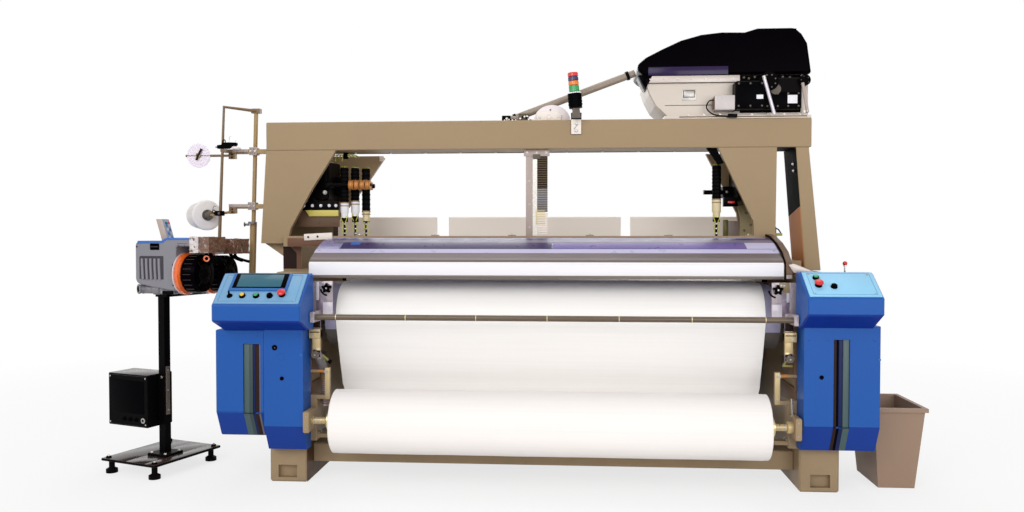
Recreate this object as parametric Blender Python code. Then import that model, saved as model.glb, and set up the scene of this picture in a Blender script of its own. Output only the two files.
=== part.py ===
"""Water jet loom: a wide weaving machine with a portal over the shed, a dobby on top,
two weft feeders on a stand, a yarn stand and a waste bin. Metres, +Z up, front towards -Y."""

from math import cos, pi, radians, sin

import bmesh
import bpy
from mathutils import Matrix, Vector

SEAT = 0.0003  # gap between two pieces that touch
PLAY = 0.0005  # running gap at a journal or guide
CLEAR = 0.006  # room left between a moving piece and a fixed one
SINK = 0.002  # how far shapes of one piece reach into each other
SIDES = 24  # facets round a shaft or roller
ROD_SIDES = 12  # facets round a thin rod

# Side frames: two deep box castings that stand on the floor.
FRAME_IN = 1.15  # from the middle of the machine to an inner face
FRAME_THICK = 0.18
FRAME_TOP = 1.00
FOOT_LENGTH = 0.43
FOOT_ARCH = 0.12
FRAME_OUT = FRAME_IN + FRAME_THICK

# Portal over the shed.
PORTAL_FRONT = 0.45
PORTAL_DEPTH = 0.38
PORTAL_RISE = 0.625  # from the top of the frames to the gantry
GANTRY_HEIGHT = 0.148
GANTRY_DEPTH = 0.22
PLATE = 0.03  # wall thickness of the portal castings
GANTRY_BOTTOM = FRAME_TOP + PORTAL_RISE
GANTRY_TOP = GANTRY_BOTTOM + GANTRY_HEIGHT
GANTRY_LEFT = -FRAME_OUT - 0.172
GANTRY_RIGHT = FRAME_OUT - 0.014
PORTAL_BACK = PORTAL_FRONT + PORTAL_DEPTH
WARP_SPACE = 0.42  # behind the portal, for the warp beam
FRAME_DEPTH = PORTAL_BACK + WARP_SPACE
COLUMN_STEP = FRAME_TOP + 0.136  # where the left column steps in to the frame
COLUMN_LEAN = 0.031  # how far its outer face leans out by then
COLUMN_FOOT = FRAME_TOP - 0.45  # how far the left column reaches down the frame's side
RIGHT_COLUMN = (FRAME_IN - 0.118, FRAME_IN - 0.010)

# Blue covers in front of both side frames.
LIP_TOP = FRAME_TOP - 0.134
LIP_HEIGHT = 0.076
LIP_FRONT = -0.25
COVER_FACE = -0.12
CONSOLE_BACK = -0.045
CONSOLE_TOP_FRONT = -0.10
LIP_BOTTOM = LIP_TOP - LIP_HEIGHT
UNDERSIDE = LIP_BOTTOM - 0.05
COVER_SIDE_DEPTH = 0.42
COVER_TAPER = 0.06  # how far the foot of a cover slopes back
LEFT_CONSOLE = (-FRAME_OUT - 0.177, -FRAME_IN + 0.05)
LEFT_COVER = (-FRAME_OUT + 0.016, -FRAME_IN + 0.02)
LEFT_CABINET = (-FRAME_OUT - 0.213, LEFT_COVER[0] - SEAT)
RIGHT_CONSOLE = (FRAME_IN - 0.033, FRAME_OUT + 0.107)
RIGHT_COVER = (FRAME_IN - 0.013, FRAME_OUT + 0.136)
RIGHT_RISE = 0.045  # the right console's slope starts higher
LEFT_COVER_BOTTOM = 0.173
CABINET_BOTTOM = 0.236
RIGHT_COVER_BOTTOM = 0.21
PANEL_THICK = 0.006
BUTTON = 0.011

# Cloth, the take-up roller that draws it and the roll that stores it.
CLOTH_LEFT = -FRAME_IN + 0.13
CLOTH_RIGHT = FRAME_IN - 0.145
CLOTH_THICK = 0.004
TAKEUP_RADIUS = 0.155
TAKEUP_FRONT = 0.05
TAKEUP_TOP = FRAME_TOP - 0.055
TAKEUP_END = FRAME_IN - 0.075
TAKEUP_Y = TAKEUP_FRONT + TAKEUP_RADIUS
TAKEUP_Z = TAKEUP_TOP - TAKEUP_RADIUS
ROLL_Y = -0.08
ROLL_Z = 0.315
ROLL_RADIUS = 0.148
ROLL_LEFT = -FRAME_IN + 0.165
ROLL_RIGHT = FRAME_IN - 0.168
STOP_BAR = FRAME_IN - 0.112  # from the middle to the bars beside the roll
ROLL_SHAFT = 0.016
ROLL_HUB = 0.042
BEARING_FACE = FRAME_IN - 0.05
BEARING_ARM = 0.028
RAIL_Y = -0.10
RAIL_Z = FRAME_TOP - 0.20
RAIL_RADIUS = 0.0135
RAIL_ARM = 0.022
RAIL_ARM_GAP = 0.002
REST_BAR = (0.05, 0.0197)  # depth and height of the bar under the cloth

# Side plates with hand knobs, and what hangs below them.
SIDE_PLATE_IN = FRAME_IN - 0.13
SIDE_PLATE_OUT = FRAME_IN + 0.10
SIDE_PLATE_BOTTOM = FRAME_TOP - 0.20
SIDE_PLATE_TOP = FRAME_TOP - 0.038
SIDE_PLATE_THICK = 0.006
KNOB_X = FRAME_IN - 0.108
KNOB_Z = FRAME_TOP - 0.07
KNOB_RADIUS = 0.023
HANGER_X = FRAME_IN - 0.054
HOSE_RADIUS = 0.019

# Hood over the reed, hinged at its back edge.
HOOD_LEFT = -FRAME_IN + 0.015
HOOD_RIGHT = FRAME_IN - 0.076
HOOD_FRONT = -0.006
HOOD_BOTTOM = FRAME_TOP - 0.023
HOOD_STRIP_TOP = FRAME_TOP + 0.042
HOOD_BAND_Y = 0.085
HOOD_BAND_Z = FRAME_TOP + 0.098
HOOD_SHELL = 0.006
HOOD_BULGE = 0.022
HINGE_RADIUS = 0.009
HINGE_Y = PORTAL_FRONT - 0.045
HINGE_Z = FRAME_TOP + 0.158
HOOD_END_THICK = 0.03

# Heald frames that rise and fall in the shed.
HEALD_COUNT = 3
HEALD_FIRST_Y = PORTAL_FRONT + 0.10
HEALD_PITCH = 0.04
HEALD_THICK = 0.018
HEALD_TOP = FRAME_TOP + 0.13
HEALD_HEIGHT = 0.35
HEALD_RAIL = 0.045
HEALD_STROKE = 0.04
GUIDE_PAD = 0.03
HEALD_HALF = FRAME_IN - GUIDE_PAD - PLAY
HEALD_BOTTOM = HEALD_TOP - HEALD_HEIGHT
WIRE_SHEET = 0.003
LIFTERS_LEFT = (0.010, 0.058, 0.108)  # from the end of the frame to each lifter
LIFTERS_RIGHT = (0.26, 0.253, 0.246)
LIFTER_RADIUS = 0.016
LIFTER_SPREAD = 1.4  # the sleeves are oval, wider across the loom
LIFTER_HOOK = 0.005
LIFTER_TOP = GANTRY_BOTTOM - HEALD_STROKE - 0.036

# Reed, warp and drive.
REED_Y = PORTAL_FRONT - 0.05
WARP_Z = FRAME_TOP - 0.015
BACKREST_RADIUS = 0.05
BACKREST_Y = FRAME_DEPTH - 0.11
BACKREST_Z = WARP_Z - BACKREST_RADIUS
BEAM_Y = FRAME_DEPTH - 0.29
BEAM_Z = 0.50
BEAM_FLANGE = 0.28
BEAM_WOUND = 0.22
GUARD_Y = FRAME_DEPTH - 0.25
GUARD_TOP = FRAME_TOP + 0.285
GUARD_BOTTOM = FRAME_TOP + 0.03
GUARD_THICK = 0.018
GUARD_EDGES = ((-1.27, -0.68), (-0.61, 0.39), (0.445, 1.13))

# Dobby on the right of the gantry.
DOBBY_FRONT = PORTAL_FRONT + 0.05
DOBBY_DEPTH = 0.34
DOBBY_LENGTH = 0.826
DOBBY_RIGHT = FRAME_OUT - 0.02
DOBBY_LEFT = DOBBY_RIGHT - DOBBY_LENGTH
DOBBY_HEIGHT = 0.215  # from its base to the rim under the cover
DOBBY_BASE = 0.012
DOBBY_COVER = 0.236  # height of the cover over the rim
DOBBY_RIM = GANTRY_TOP + DOBBY_BASE + DOBBY_HEIGHT

# Weft feeders on their stand, in the stand's own turned frame.
STAND_X = -FRAME_OUT - 0.61
STAND_Y = 0.19
STAND_TURN = radians(-20)
FEEDER_TURN = radians(-8)
STAND_PLATE = ((-0.225, -0.195), (0.13, 0.25))
STAND_PLATE_THICK = 0.012
STAND_FOOT = 0.062
POLE_HALF = 0.0195
POLE_TOP = 0.885
STAND_ARM = 0.014
FEEDER_HALF = 0.07  # half the width of a feeder's housing
FEEDER_DRUM = 0.095
FEEDER_DRUM_LENGTH = 0.07
FEEDER_DISC = 0.105
FEEDER_DISC_THICK = 0.03
FEEDER_AXIS_Z = POLE_TOP + 0.102
FEEDER_RISE = 0.025  # how far the housing stands above the disc's axis
FEEDER_END = 0.06
FEEDER_SPINDLE = 0.02
FEEDER_CLAMP = 0.023
FEEDERS = ((0.055, 0.0, 0.0), (0.061, 0.222, -0.010))

# Yarn stand clamped to the left column.
YARN_X = GANTRY_LEFT - 0.090  # at the top of the pole
YARN_Y = PORTAL_FRONT + 0.10
YARN_TUBE = 0.018
YARN_POLE = 0.011
YARN_TOP = GANTRY_TOP + 0.062
YARN_SLEEVE_TOP = YARN_TOP - 0.585
YARN_FOOT = COLUMN_FOOT + 0.27
YARN_LEAN = 0.033  # how far the pole leans over its height
YARN_ARM = 0.032
YARN_UPPER = GANTRY_BOTTOM - 0.009  # heights of the two arms
YARN_LOWER = GANTRY_BOTTOM - 0.303
YARN_CONE_TURN = radians(45)

# Waste bin.
BIN_LOW = (FRAME_OUT + 0.208, 0.10)
BIN_SIZE = (0.165, 0.30)
BIN_HEIGHT = 0.38
BIN_FLARE = 0.032
BIN_WALL = 0.006
BIN_LIP = 0.012
BIN_LIP_HEIGHT = 0.018


def clear_scene():
    for thing in list(bpy.data.objects):
        bpy.data.objects.remove(thing, do_unlink=True)


def paint(name, colour, roughness=0.5, metallic=0.0, alpha=1.0):
    """A plain Principled material; colours are linear."""
    found = bpy.data.materials.get(name)
    if found:
        return found
    made = bpy.data.materials.new(name)
    made.use_nodes = True
    shader = made.node_tree.nodes["Principled BSDF"]
    shader.inputs["Base Color"].default_value = (*colour, 1.0)
    shader.inputs["Roughness"].default_value = roughness
    shader.inputs["Metallic"].default_value = metallic
    shader.inputs["Alpha"].default_value = alpha
    return made


def tan_paint():
    return paint("tan_paint", (0.39, 0.28, 0.17), 0.45)


def blue_paint():
    return paint("blue_paint", (0.026, 0.13, 0.46), 0.35)


def panel_blue():
    return paint("panel_blue", (0.22, 0.51, 0.83), 0.4)


def black_plastic():
    return paint("black_plastic", (0.012, 0.012, 0.014), 0.35)


def bright_steel():
    return paint("bright_steel", (0.60, 0.58, 0.55), 0.3, 1.0)


def white_cloth():
    return paint("white_cloth", (0.90, 0.87, 0.82), 0.9)


def cream_tube():
    return paint("cream_tube", (0.52, 0.43, 0.28), 0.5)


def link(thing):
    bpy.context.scene.collection.objects.link(thing)
    return thing


def to_object(bm, name="solid"):
    bmesh.ops.recalc_face_normals(bm, faces=bm.faces[:])
    mesh = bpy.data.meshes.new(name)
    bm.to_mesh(mesh)
    bm.free()
    return link(bpy.data.objects.new(name, mesh))


def soften(bm, width, segments=1):
    """Bevels every edge that turns by more than 25 degrees."""
    if width <= 0:
        return
    bmesh.ops.recalc_face_normals(bm, faces=bm.faces[:])
    sharp = [edge for edge in bm.edges if edge.calc_face_angle(0) > radians(25)]
    bmesh.ops.bevel(bm, geom=sharp, offset=width, segments=segments, profile=0.5,
                    affect="EDGES", clamp_overlap=True)


def sweep(axis, outline, start, end, edge=0.0, segments=1):
    """A solid with a flat outline, extruded along X, Y or Z from start to end."""
    place = {
        "X": lambda a, b, t: (t, a, b),
        "Y": lambda a, b, t: (a, t, b),
        "Z": lambda a, b, t: (a, b, t),
    }[axis]
    bm = bmesh.new()
    near = [bm.verts.new(place(a, b, start)) for a, b in outline]
    face = bm.faces.new(near)
    grown = bmesh.ops.extrude_face_region(bm, geom=[face])
    moved = [item for item in grown["geom"] if isinstance(item, bmesh.types.BMVert)]
    step = Vector(place(0, 0, end)) - Vector(place(0, 0, start))
    bmesh.ops.translate(bm, verts=moved, vec=step)
    soften(bm, edge, segments)
    return to_object(bm)


def box(low, high, edge=0.0):
    outline = [(low[0], low[1]), (high[0], low[1]), (high[0], high[1]), (low[0], high[1])]
    return sweep("Z", outline, low[2], high[2], edge)


def turned(profile, start, along, sides=SIDES):
    """A turned solid: profile holds (distance along the axis, radius) pairs."""
    bm = bmesh.new()
    rings = []
    for distance, radius in profile:
        ring = []
        for step in range(sides):
            angle = 2 * pi * step / sides
            ring.append(bm.verts.new((radius * cos(angle), radius * sin(angle), distance)))
        rings.append(ring)
    skin_rings(bm, rings)
    turn = Vector((0, 0, 1)).rotation_difference(Vector(along)).to_matrix().to_4x4()
    bmesh.ops.transform(bm, matrix=Matrix.Translation(start) @ turn, verts=bm.verts[:])
    return to_object(bm)


def skin_rings(bm, rings):
    """Joins each ring of points to the next and closes both ends."""
    for lower, upper in zip(rings, rings[1:]):
        for step in range(len(lower)):
            after = (step + 1) % len(lower)
            bm.faces.new((lower[step], lower[after], upper[after], upper[step]))
    bm.faces.new(rings[0])
    bm.faces.new(rings[-1])


def rod(start, end, radius, sides=SIDES):
    reach = Vector(end) - Vector(start)
    return turned([(0, radius), (reach.length, radius)], start, reach, sides)


def smooth_path(points, steps=4):
    """Points along a smooth curve through the given ones."""
    spots = [Vector(point) for point in points]
    spots = [2 * spots[0] - spots[1], *spots, 2 * spots[-1] - spots[-2]]
    path = []
    for before, here, there, after in zip(spots, spots[1:], spots[2:], spots[3:]):
        for step in range(steps):
            t = step / steps
            path.append(0.5 * (2 * here + (there - before) * t
                               + (2 * before - 5 * here + 4 * there - after) * t ** 2
                               + (3 * here - before - 3 * there + after) * t ** 3))
    path.append(spots[-2])
    return path


def bent_tube(points, radius, resolution=2):
    """A tube with filled ends along a run of points."""
    curve = bpy.data.curves.new("tube", "CURVE")
    curve.dimensions = "3D"
    curve.bevel_depth = radius
    curve.bevel_resolution = resolution
    curve.use_fill_caps = True
    spline = curve.splines.new("POLY")
    spline.points.add(len(points) - 1)
    for spot, place in zip(spline.points, points):
        spot.co = (*place, 1.0)
    guide = link(bpy.data.objects.new("tube", curve))
    bpy.context.view_layer.update()
    graph = bpy.context.evaluated_depsgraph_get()
    mesh = bpy.data.meshes.new_from_object(guide.evaluated_get(graph))
    bpy.data.objects.remove(guide, do_unlink=True)
    return link(bpy.data.objects.new("tube", mesh))


def combine(target, tools, operation):
    """Applies exact Booleans with each tool, then removes the tools."""
    for tool in tools:
        step = target.modifiers.new(operation.lower(), "BOOLEAN")
        step.operation = operation
        step.solver = "EXACT"
        step.object = tool
        bpy.context.view_layer.update()
        graph = bpy.context.evaluated_depsgraph_get()
        result = bpy.data.meshes.new_from_object(target.evaluated_get(graph))
        target.modifiers.clear()
        target.data = result
        bpy.data.objects.remove(tool, do_unlink=True)
    return target


def fused(first, *others):
    return combine(first, others, "UNION")


def cut(first, *tools):
    return combine(first, tools, "DIFFERENCE")


def finish(name, thing, material, parent, pivot=None):
    """Names a solid, paints it, puts its origin on its pivot and parents it."""
    thing.name = name
    thing.data.name = name
    thing.data.materials.clear()
    thing.data.materials.append(material)
    if pivot:
        thing.data.transform(Matrix.Translation(-Vector(pivot)))
        thing.location = pivot
    thing.data.shade_smooth()
    thing.data.set_sharp_from_angle(angle=radians(30))
    thing.parent = parent
    return thing


def empty(name, parent, location=(0, 0, 0), turn=0.0):
    made = link(bpy.data.objects.new(name, None))
    made.location = location
    made.rotation_euler = (0, 0, turn)
    made.parent = parent
    return made


def span(side, near, far):
    """Low and high X of a piece between two distances from the middle, on one side."""
    return sorted((side * near, side * far))


def arc(x, z, radius, start, end, steps):
    """Points on an arc round (x, z), angles in degrees from the first axis."""
    points = []
    for step in range(steps + 1):
        angle = radians(start + (end - start) * step / steps)
        points.append((x + radius * cos(angle), z + radius * sin(angle)))
    return points


def build_frames(machine):
    back_foot = FRAME_DEPTH - FOOT_LENGTH
    slope, back_corner, nose = 0.03, 0.08, 0.09
    outline = [
        (0, 0), (FOOT_LENGTH, 0), (FOOT_LENGTH + slope, FOOT_ARCH),
        (back_foot - slope, FOOT_ARCH), (back_foot, 0), (FRAME_DEPTH, 0),
        (FRAME_DEPTH, FRAME_TOP - back_corner), (FRAME_DEPTH - back_corner, FRAME_TOP),
        (nose, FRAME_TOP), (0, FRAME_TOP - nose),
    ]
    pad_front = HEALD_FIRST_Y - HEALD_PITCH / 2
    pad_back = pad_front + HEALD_PITCH * HEALD_COUNT
    pad_low, pad_high = HEALD_BOTTOM + HEALD_STROKE, FRAME_TOP - 0.02
    pocket_low, pocket_high = 0.022, 0.082
    for name, side in (("frame_left", -1), ("frame_right", 1)):
        inner, outer = span(side, FRAME_IN, FRAME_OUT)
        frame = sweep("X", outline, inner, outer, 0.008)
        near, far = span(side, FRAME_IN + 0.01, FRAME_IN - GUIDE_PAD)
        pad = box((near, pad_front, pad_low), (far, pad_back, pad_high))
        near, far = span(side, FRAME_IN + 0.05, FRAME_OUT - 0.04)
        pocket = box((near, -SINK, pocket_low), (far, 0.03, pocket_high))
        finish(name, cut(fused(frame, pad), pocket), tan_paint(), machine)


def cross_beam(name, y, z, depth, height, machine):
    """A beam between the inner faces of the frames."""
    low = (-FRAME_IN + SEAT, y, z)
    high = (FRAME_IN - SEAT, y + depth, z + height)
    finish(name, box(low, high, 0.004), tan_paint(), machine)


def build_cross_beams(machine):
    cross_beam("front_cross_beam", 0.10, 0.075, 0.12, 0.09, machine)
    cross_beam("rear_cross_beam", FRAME_DEPTH - 0.20, 0.03, 0.12, 0.12, machine)
    depth, height = REST_BAR
    cross_beam("breast_beam", REED_Y - 0.112, TAKEUP_TOP - height, depth, height, machine)


def build_left_column(machine):
    """Two shaped plates joined by an outer wall; a foot bolts to the frame's outer face."""
    top = GANTRY_BOTTOM - SEAT
    left, step = GANTRY_LEFT, COLUMN_STEP
    foot_left = left - COLUMN_LEAN
    side = -FRAME_OUT - SEAT
    front_outline = [
        (left, top), (left + 0.370, top), (left + 0.360, top - 0.023), (left + 0.244, top - 0.203),
        (left + 0.128, top - 0.411), (left + 0.110, step), (foot_left, step),
    ]
    rear_outline = [
        (left, top), (left + 0.544, top), (left + 0.554, top - 0.012), (left + 0.462, top - 0.144),
        (left + 0.259, top - 0.40), (left + 0.259, step), (foot_left, step),
    ]
    wall_outline = [(left, top), (left + PLATE, top), (foot_left + PLATE, step), (foot_left, step)]
    knee = left + 0.072
    foot_outline = [
        (foot_left + SINK, step + 0.02), (side, step + 0.02), (side, COLUMN_FOOT),
        (knee, COLUMN_FOOT), (knee, step - 0.068), (foot_left + SINK, step + 0.001),
    ]
    inset = 0.001
    column = sweep("Y", front_outline, PORTAL_FRONT, PORTAL_FRONT + PLATE)
    wall = sweep("Y", wall_outline, PORTAL_FRONT + inset, PORTAL_BACK - inset)
    rear = sweep("Y", rear_outline, PORTAL_BACK - PLATE, PORTAL_BACK)
    floor = box((foot_left + 0.005, PORTAL_FRONT + inset, step),
                (left + 0.108, PORTAL_BACK - inset, step + PLATE))
    foot = sweep("Y", foot_outline, PORTAL_FRONT + 0.05, PORTAL_BACK - PLATE)
    finish("column_left", fused(column, wall, rear, floor, foot), tan_paint(), machine)


def build_right_column(machine):
    """Shaped front and rear plates on an outer wall, and a separate raking post beside them."""
    top = GANTRY_BOTTOM - SEAT
    seat = FRAME_TOP + SEAT
    near, out = RIGHT_COLUMN
    shoulder = out - 0.289
    front_outline = [
        (shoulder, top), (out + 0.004, top), (out, top - 0.445), (out, seat), (near, seat),
        (near, top - 0.38),
    ]
    rear_outline = [
        (shoulder - 0.008, top), (out + 0.004, top), (out, top - 0.445), (out, seat),
        (near + 0.02, seat), (near - 0.02, top - 0.325),
    ]
    inset = 0.001
    column = sweep("Y", front_outline, PORTAL_FRONT, PORTAL_FRONT + PLATE)
    wall_in = HEALD_HALF + CLEAR
    wall = box((wall_in, PORTAL_FRONT + inset, seat + inset),
               (out - inset, PORTAL_BACK - inset, top - inset))
    rear = sweep("Y", rear_outline, PORTAL_BACK - PLATE, PORTAL_BACK)
    foot = box((wall_in + inset, PORTAL_FRONT + inset, seat),
               (FRAME_OUT - 0.06, PORTAL_BACK - inset, seat + 0.05))
    finish("column_right", fused(column, wall, rear, foot), tan_paint(), machine)

    post_outline = [
        (FRAME_OUT - 0.092, top), (FRAME_OUT - 0.027, top), (FRAME_OUT + 0.037, seat),
        (FRAME_OUT - 0.042, seat),
    ]
    post = sweep("Y", post_outline, PORTAL_FRONT + inset, PORTAL_FRONT + 0.25, 0.003)
    finish("outer_post_right", post, tan_paint(), machine)


def build_guide_post(machine):
    """The guide post hangs from the gantry; its right edge is a comb."""
    top = GANTRY_BOTTOM - SEAT
    left, edge, root, tip = -0.131, -0.073, -0.045, -0.018
    comb_top, bottom = top - 0.025, FRAME_TOP + HEALD_STROKE + 0.129
    teeth, pitch = 16, 0.021
    outline = [(edge, bottom), (left, bottom), (left, top), (tip, top), (tip, comb_top)]
    for tooth in range(teeth):
        z = comb_top - tooth * pitch
        outline += [(root, z - 0.006), (root, z - 0.013), (tip, z - 0.015), (tip, z - pitch)]
    outline.append((edge, comb_top - teeth * pitch - 0.034))
    front = HEALD_FIRST_Y - HEALD_THICK / 2 - 0.049
    thick = 0.008
    comb = sweep("Y", outline, front, front + thick)
    web = box((left + SINK, front + thick - 0.001, bottom + 0.001),
              (edge - SINK, front + 0.038, top - 0.001))
    finish("harness_guide_post", fused(comb, web), bright_steel(), machine)


def build_lifter_gear(machine):
    """The levers and rollers that pull the lifters, one set in each column."""
    back = PORTAL_BACK - PLATE - SEAT
    top = GANTRY_BOTTOM
    shaft_y, shaft_z = back - 0.098, top - 0.175
    lever = GANTRY_LEFT + 0.252
    front = PORTAL_FRONT + 0.11
    block = box((lever - 0.15, front, top - 0.255), (lever + 0.05, back, top - 0.045), 0.006)
    arm = box((lever, shaft_y - 0.01, shaft_z - 0.05), (lever + 0.085, shaft_y + 0.07, shaft_z + 0.05))
    shaft = rod((lever + 0.08, shaft_y, shaft_z), (lever + 0.27, shaft_y, shaft_z), 0.012, ROD_SIDES)
    rollers = []
    for number in range(4):
        x = lever + 0.13 + number * 0.035
        rollers.append(rod((x, shaft_y, shaft_z), (x + 0.022, shaft_y, shaft_z), 0.021, ROD_SIDES))
    bar = box((lever - 0.09, front - 0.03, top - 0.310), (lever + 0.09, front, top - 0.270))
    hanger = box((lever - 0.05, front - 0.025, top - 0.295), (lever - 0.02, front + 0.06, top - 0.225))
    finish("lifter_gear_left", fused(block, arm, shaft, bar, hanger, *rollers), black_plastic(), machine)

    near = RIGHT_COLUMN[0]
    shaft_z = top - 0.215
    block = box((near - 0.065, front, top - 0.265), (near + 0.065, back, top - 0.075), 0.006)
    arm = box((near - 0.115, shaft_y - 0.01, shaft_z - 0.03), (near - 0.055, shaft_y + 0.07, shaft_z + 0.03))
    axis_y = shaft_y + 0.01
    shaft = rod((near - 0.215, axis_y, shaft_z), (near - 0.095, axis_y, shaft_z), 0.012, ROD_SIDES)
    bar = box((near - 0.125, front + 0.04, top - 0.295), (near - 0.055, front + 0.08, top - 0.245))
    finish("lifter_gear_right", fused(block, arm, shaft, bar), black_plastic(), machine)


def underside(rise=0.0):
    """The height at which a console's underside meets the cover below it."""
    return UNDERSIDE + rise * 0.6


def console_outline(rise=0.0):
    head = FRAME_TOP + rise * 0.3
    foot = underside(rise)
    return [
        (LIP_FRONT, LIP_BOTTOM + rise), (LIP_FRONT, LIP_TOP + rise), (CONSOLE_TOP_FRONT, head),
        (CONSOLE_BACK, head), (CONSOLE_BACK, foot), (COVER_FACE, foot),
    ]


def cover_outline(top, bottom):
    """A cover's section, which slopes back near its foot."""
    bend = bottom + 0.12
    foot = COVER_FACE + COVER_TAPER
    return [(COVER_FACE, top), (-SEAT, top), (-SEAT, bottom), (foot, bottom), (COVER_FACE, bend)]


def build_covers(machine):
    overlap = 0.01
    console = sweep("X", console_outline(), *LEFT_CONSOLE, 0.006)
    lower = sweep("X", cover_outline(UNDERSIDE + overlap, LEFT_COVER_BOTTOM), *LEFT_COVER)
    finish("cover_left", fused(console, lower), blue_paint(), machine)

    top = UNDERSIDE - SEAT
    recess_depth = 0.012
    front = sweep("X", cover_outline(top, CABINET_BOTTOM), *LEFT_CABINET, 0.004)
    side = box((LEFT_CABINET[0], -0.02, CABINET_BOTTOM),
               (-FRAME_OUT - SEAT, COVER_SIDE_DEPTH, top), 0.004)
    right_edge = LEFT_CABINET[1] - 0.016
    recess = box((right_edge - 0.082, COVER_FACE - overlap, CABINET_BOTTOM + 0.044),
                 (right_edge, COVER_FACE + recess_depth, top - 0.065))
    finish("cabinet_left", cut(fused(front, side), recess), blue_paint(), machine)

    console = sweep("X", console_outline(RIGHT_RISE), *RIGHT_CONSOLE, 0.006)
    top = underside(RIGHT_RISE) + overlap
    lower = sweep("X", cover_outline(top, RIGHT_COVER_BOTTOM), *RIGHT_COVER)
    side = box((FRAME_OUT + SEAT, -0.02, RIGHT_COVER_BOTTOM),
               (RIGHT_COVER[1], COVER_SIDE_DEPTH, top), 0.004)
    left_edge = RIGHT_COVER[0] + 0.128
    recess = box((left_edge, COVER_FACE - overlap, RIGHT_COVER_BOTTOM),
                 (left_edge + 0.070, COVER_FACE + recess_depth, top - 0.060))
    finish("cover_right", cut(fused(console, lower, side), recess), blue_paint(), machine)


def slope_frame(rise):
    """The console's slope: its lower front edge, its direction, its outward normal, its length."""
    foot = Vector((0, LIP_FRONT, LIP_TOP + rise))
    head = Vector((0, CONSOLE_TOP_FRONT, FRAME_TOP + rise * 0.3))
    along = (head - foot).normalized()
    return foot, along, Vector((0, -along.z, along.y)), (head - foot).length


def slope_slab(rise, x_low, x_high, t_low, t_high, lift, thick):
    """A plate on the slope, between two shares of the slope's length."""
    foot, along, out, length = slope_frame(rise)
    corners = []
    for t, height in ((t_low, lift), (t_high, lift), (t_high, lift + thick), (t_low, lift + thick)):
        spot = foot + along * (t * length) + out * height
        corners.append((spot.y, spot.z))
    return sweep("X", corners, x_low, x_high)


def slope_button(rise, x, t, reach, head=0.0):
    """A push button on the slope; with a head it is a mushroom button."""
    foot, along, out, length = slope_frame(rise)
    spot = foot + along * (t * length) + out * (SEAT + PANEL_THICK * 0.5)
    spot.x = x
    profile = [(0, BUTTON), (reach, BUTTON)]
    if head:
        neck = reach - 0.012
        profile = [(0, BUTTON), (neck, BUTTON), (neck, head), (reach, head * 0.8)]
    return turned(profile, spot, out, 16)


def build_control_panels(machine):
    margin, low, high = 0.008, 0.03, 0.97
    left, right = LEFT_CONSOLE[0] + margin, LEFT_CONSOLE[1] - margin
    panel = slope_slab(0, left, right, low, high, SEAT, PANEL_THICK)
    buttons = [slope_button(0, left + along, 0.28, 0.016) for along in (0.053, 0.117, 0.179, 0.241)]
    stop = slope_button(0, left + 0.299, 0.30, 0.026, 0.018)
    screen = slope_slab(0, left + 0.065, left + 0.319, 0.40, 0.94, PANEL_THICK * 0.5, 0.009)
    finish("control_panel_left", fused(panel, screen, stop, *buttons), panel_blue(), machine)

    left, right = RIGHT_CONSOLE[0] + margin, RIGHT_CONSOLE[1] - margin
    panel = slope_slab(RIGHT_RISE, left, right, low, high, SEAT, PANEL_THICK)
    places = ((0.050, 0.70), (0.130, 0.38))
    buttons = [slope_button(RIGHT_RISE, left + along, t, 0.016) for along, t in places]
    stop = slope_button(RIGHT_RISE, left + 0.054, 0.42, 0.026, 0.018)
    finish("control_panel_right", fused(panel, stop, *buttons), panel_blue(), machine)


def build_hand_lever(machine):
    """A ball lever on the outside of the right frame, behind the console."""
    pivot = (FRAME_OUT + SEAT, 0.05, FRAME_TOP - 0.10)
    reach, ball_radius, rise = 0.032, 0.0105, 0.16
    hub = rod(pivot, (pivot[0] + 0.045, pivot[1], pivot[2]), 0.014, 16)
    centre = (pivot[0] + reach, pivot[1], pivot[2])
    stem = rod(centre, (centre[0], centre[1], pivot[2] + rise - ball_radius), 0.0045, 8)
    steps = 6
    ball = []
    for step in range(steps + 1):
        angle = pi * step / steps
        ball.append((ball_radius * (1 - cos(angle)), max(ball_radius * sin(angle), SINK)))
    knob = turned(ball, (centre[0], centre[1], pivot[2] + rise - 1.5 * ball_radius), (0, 0, 1), ROD_SIDES)
    finish("hand_lever", fused(hub, stem, knob), paint("red_ball", (0.7, 0.02, 0.02), 0.3), machine, pivot)


def star_knob(x, z, face, radius, height):
    """A hand knob with five lobes on its stem, standing on a face that looks to the front."""
    lobes, per_lobe = 5, 4
    outline = []
    for step in range(lobes * per_lobe):
        angle = 2 * pi * step / (lobes * per_lobe)
        reach = radius * (0.88 + 0.12 * cos(lobes * angle))
        outline.append((x + reach * sin(angle), z + reach * cos(angle)))
    stem = rod((x, face + SINK, z), (x, face - height * 0.5, z), radius * 0.4, ROD_SIDES)
    head = sweep("Y", outline, face - height, face - height * 0.4)
    return fused(stem, head)


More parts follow.
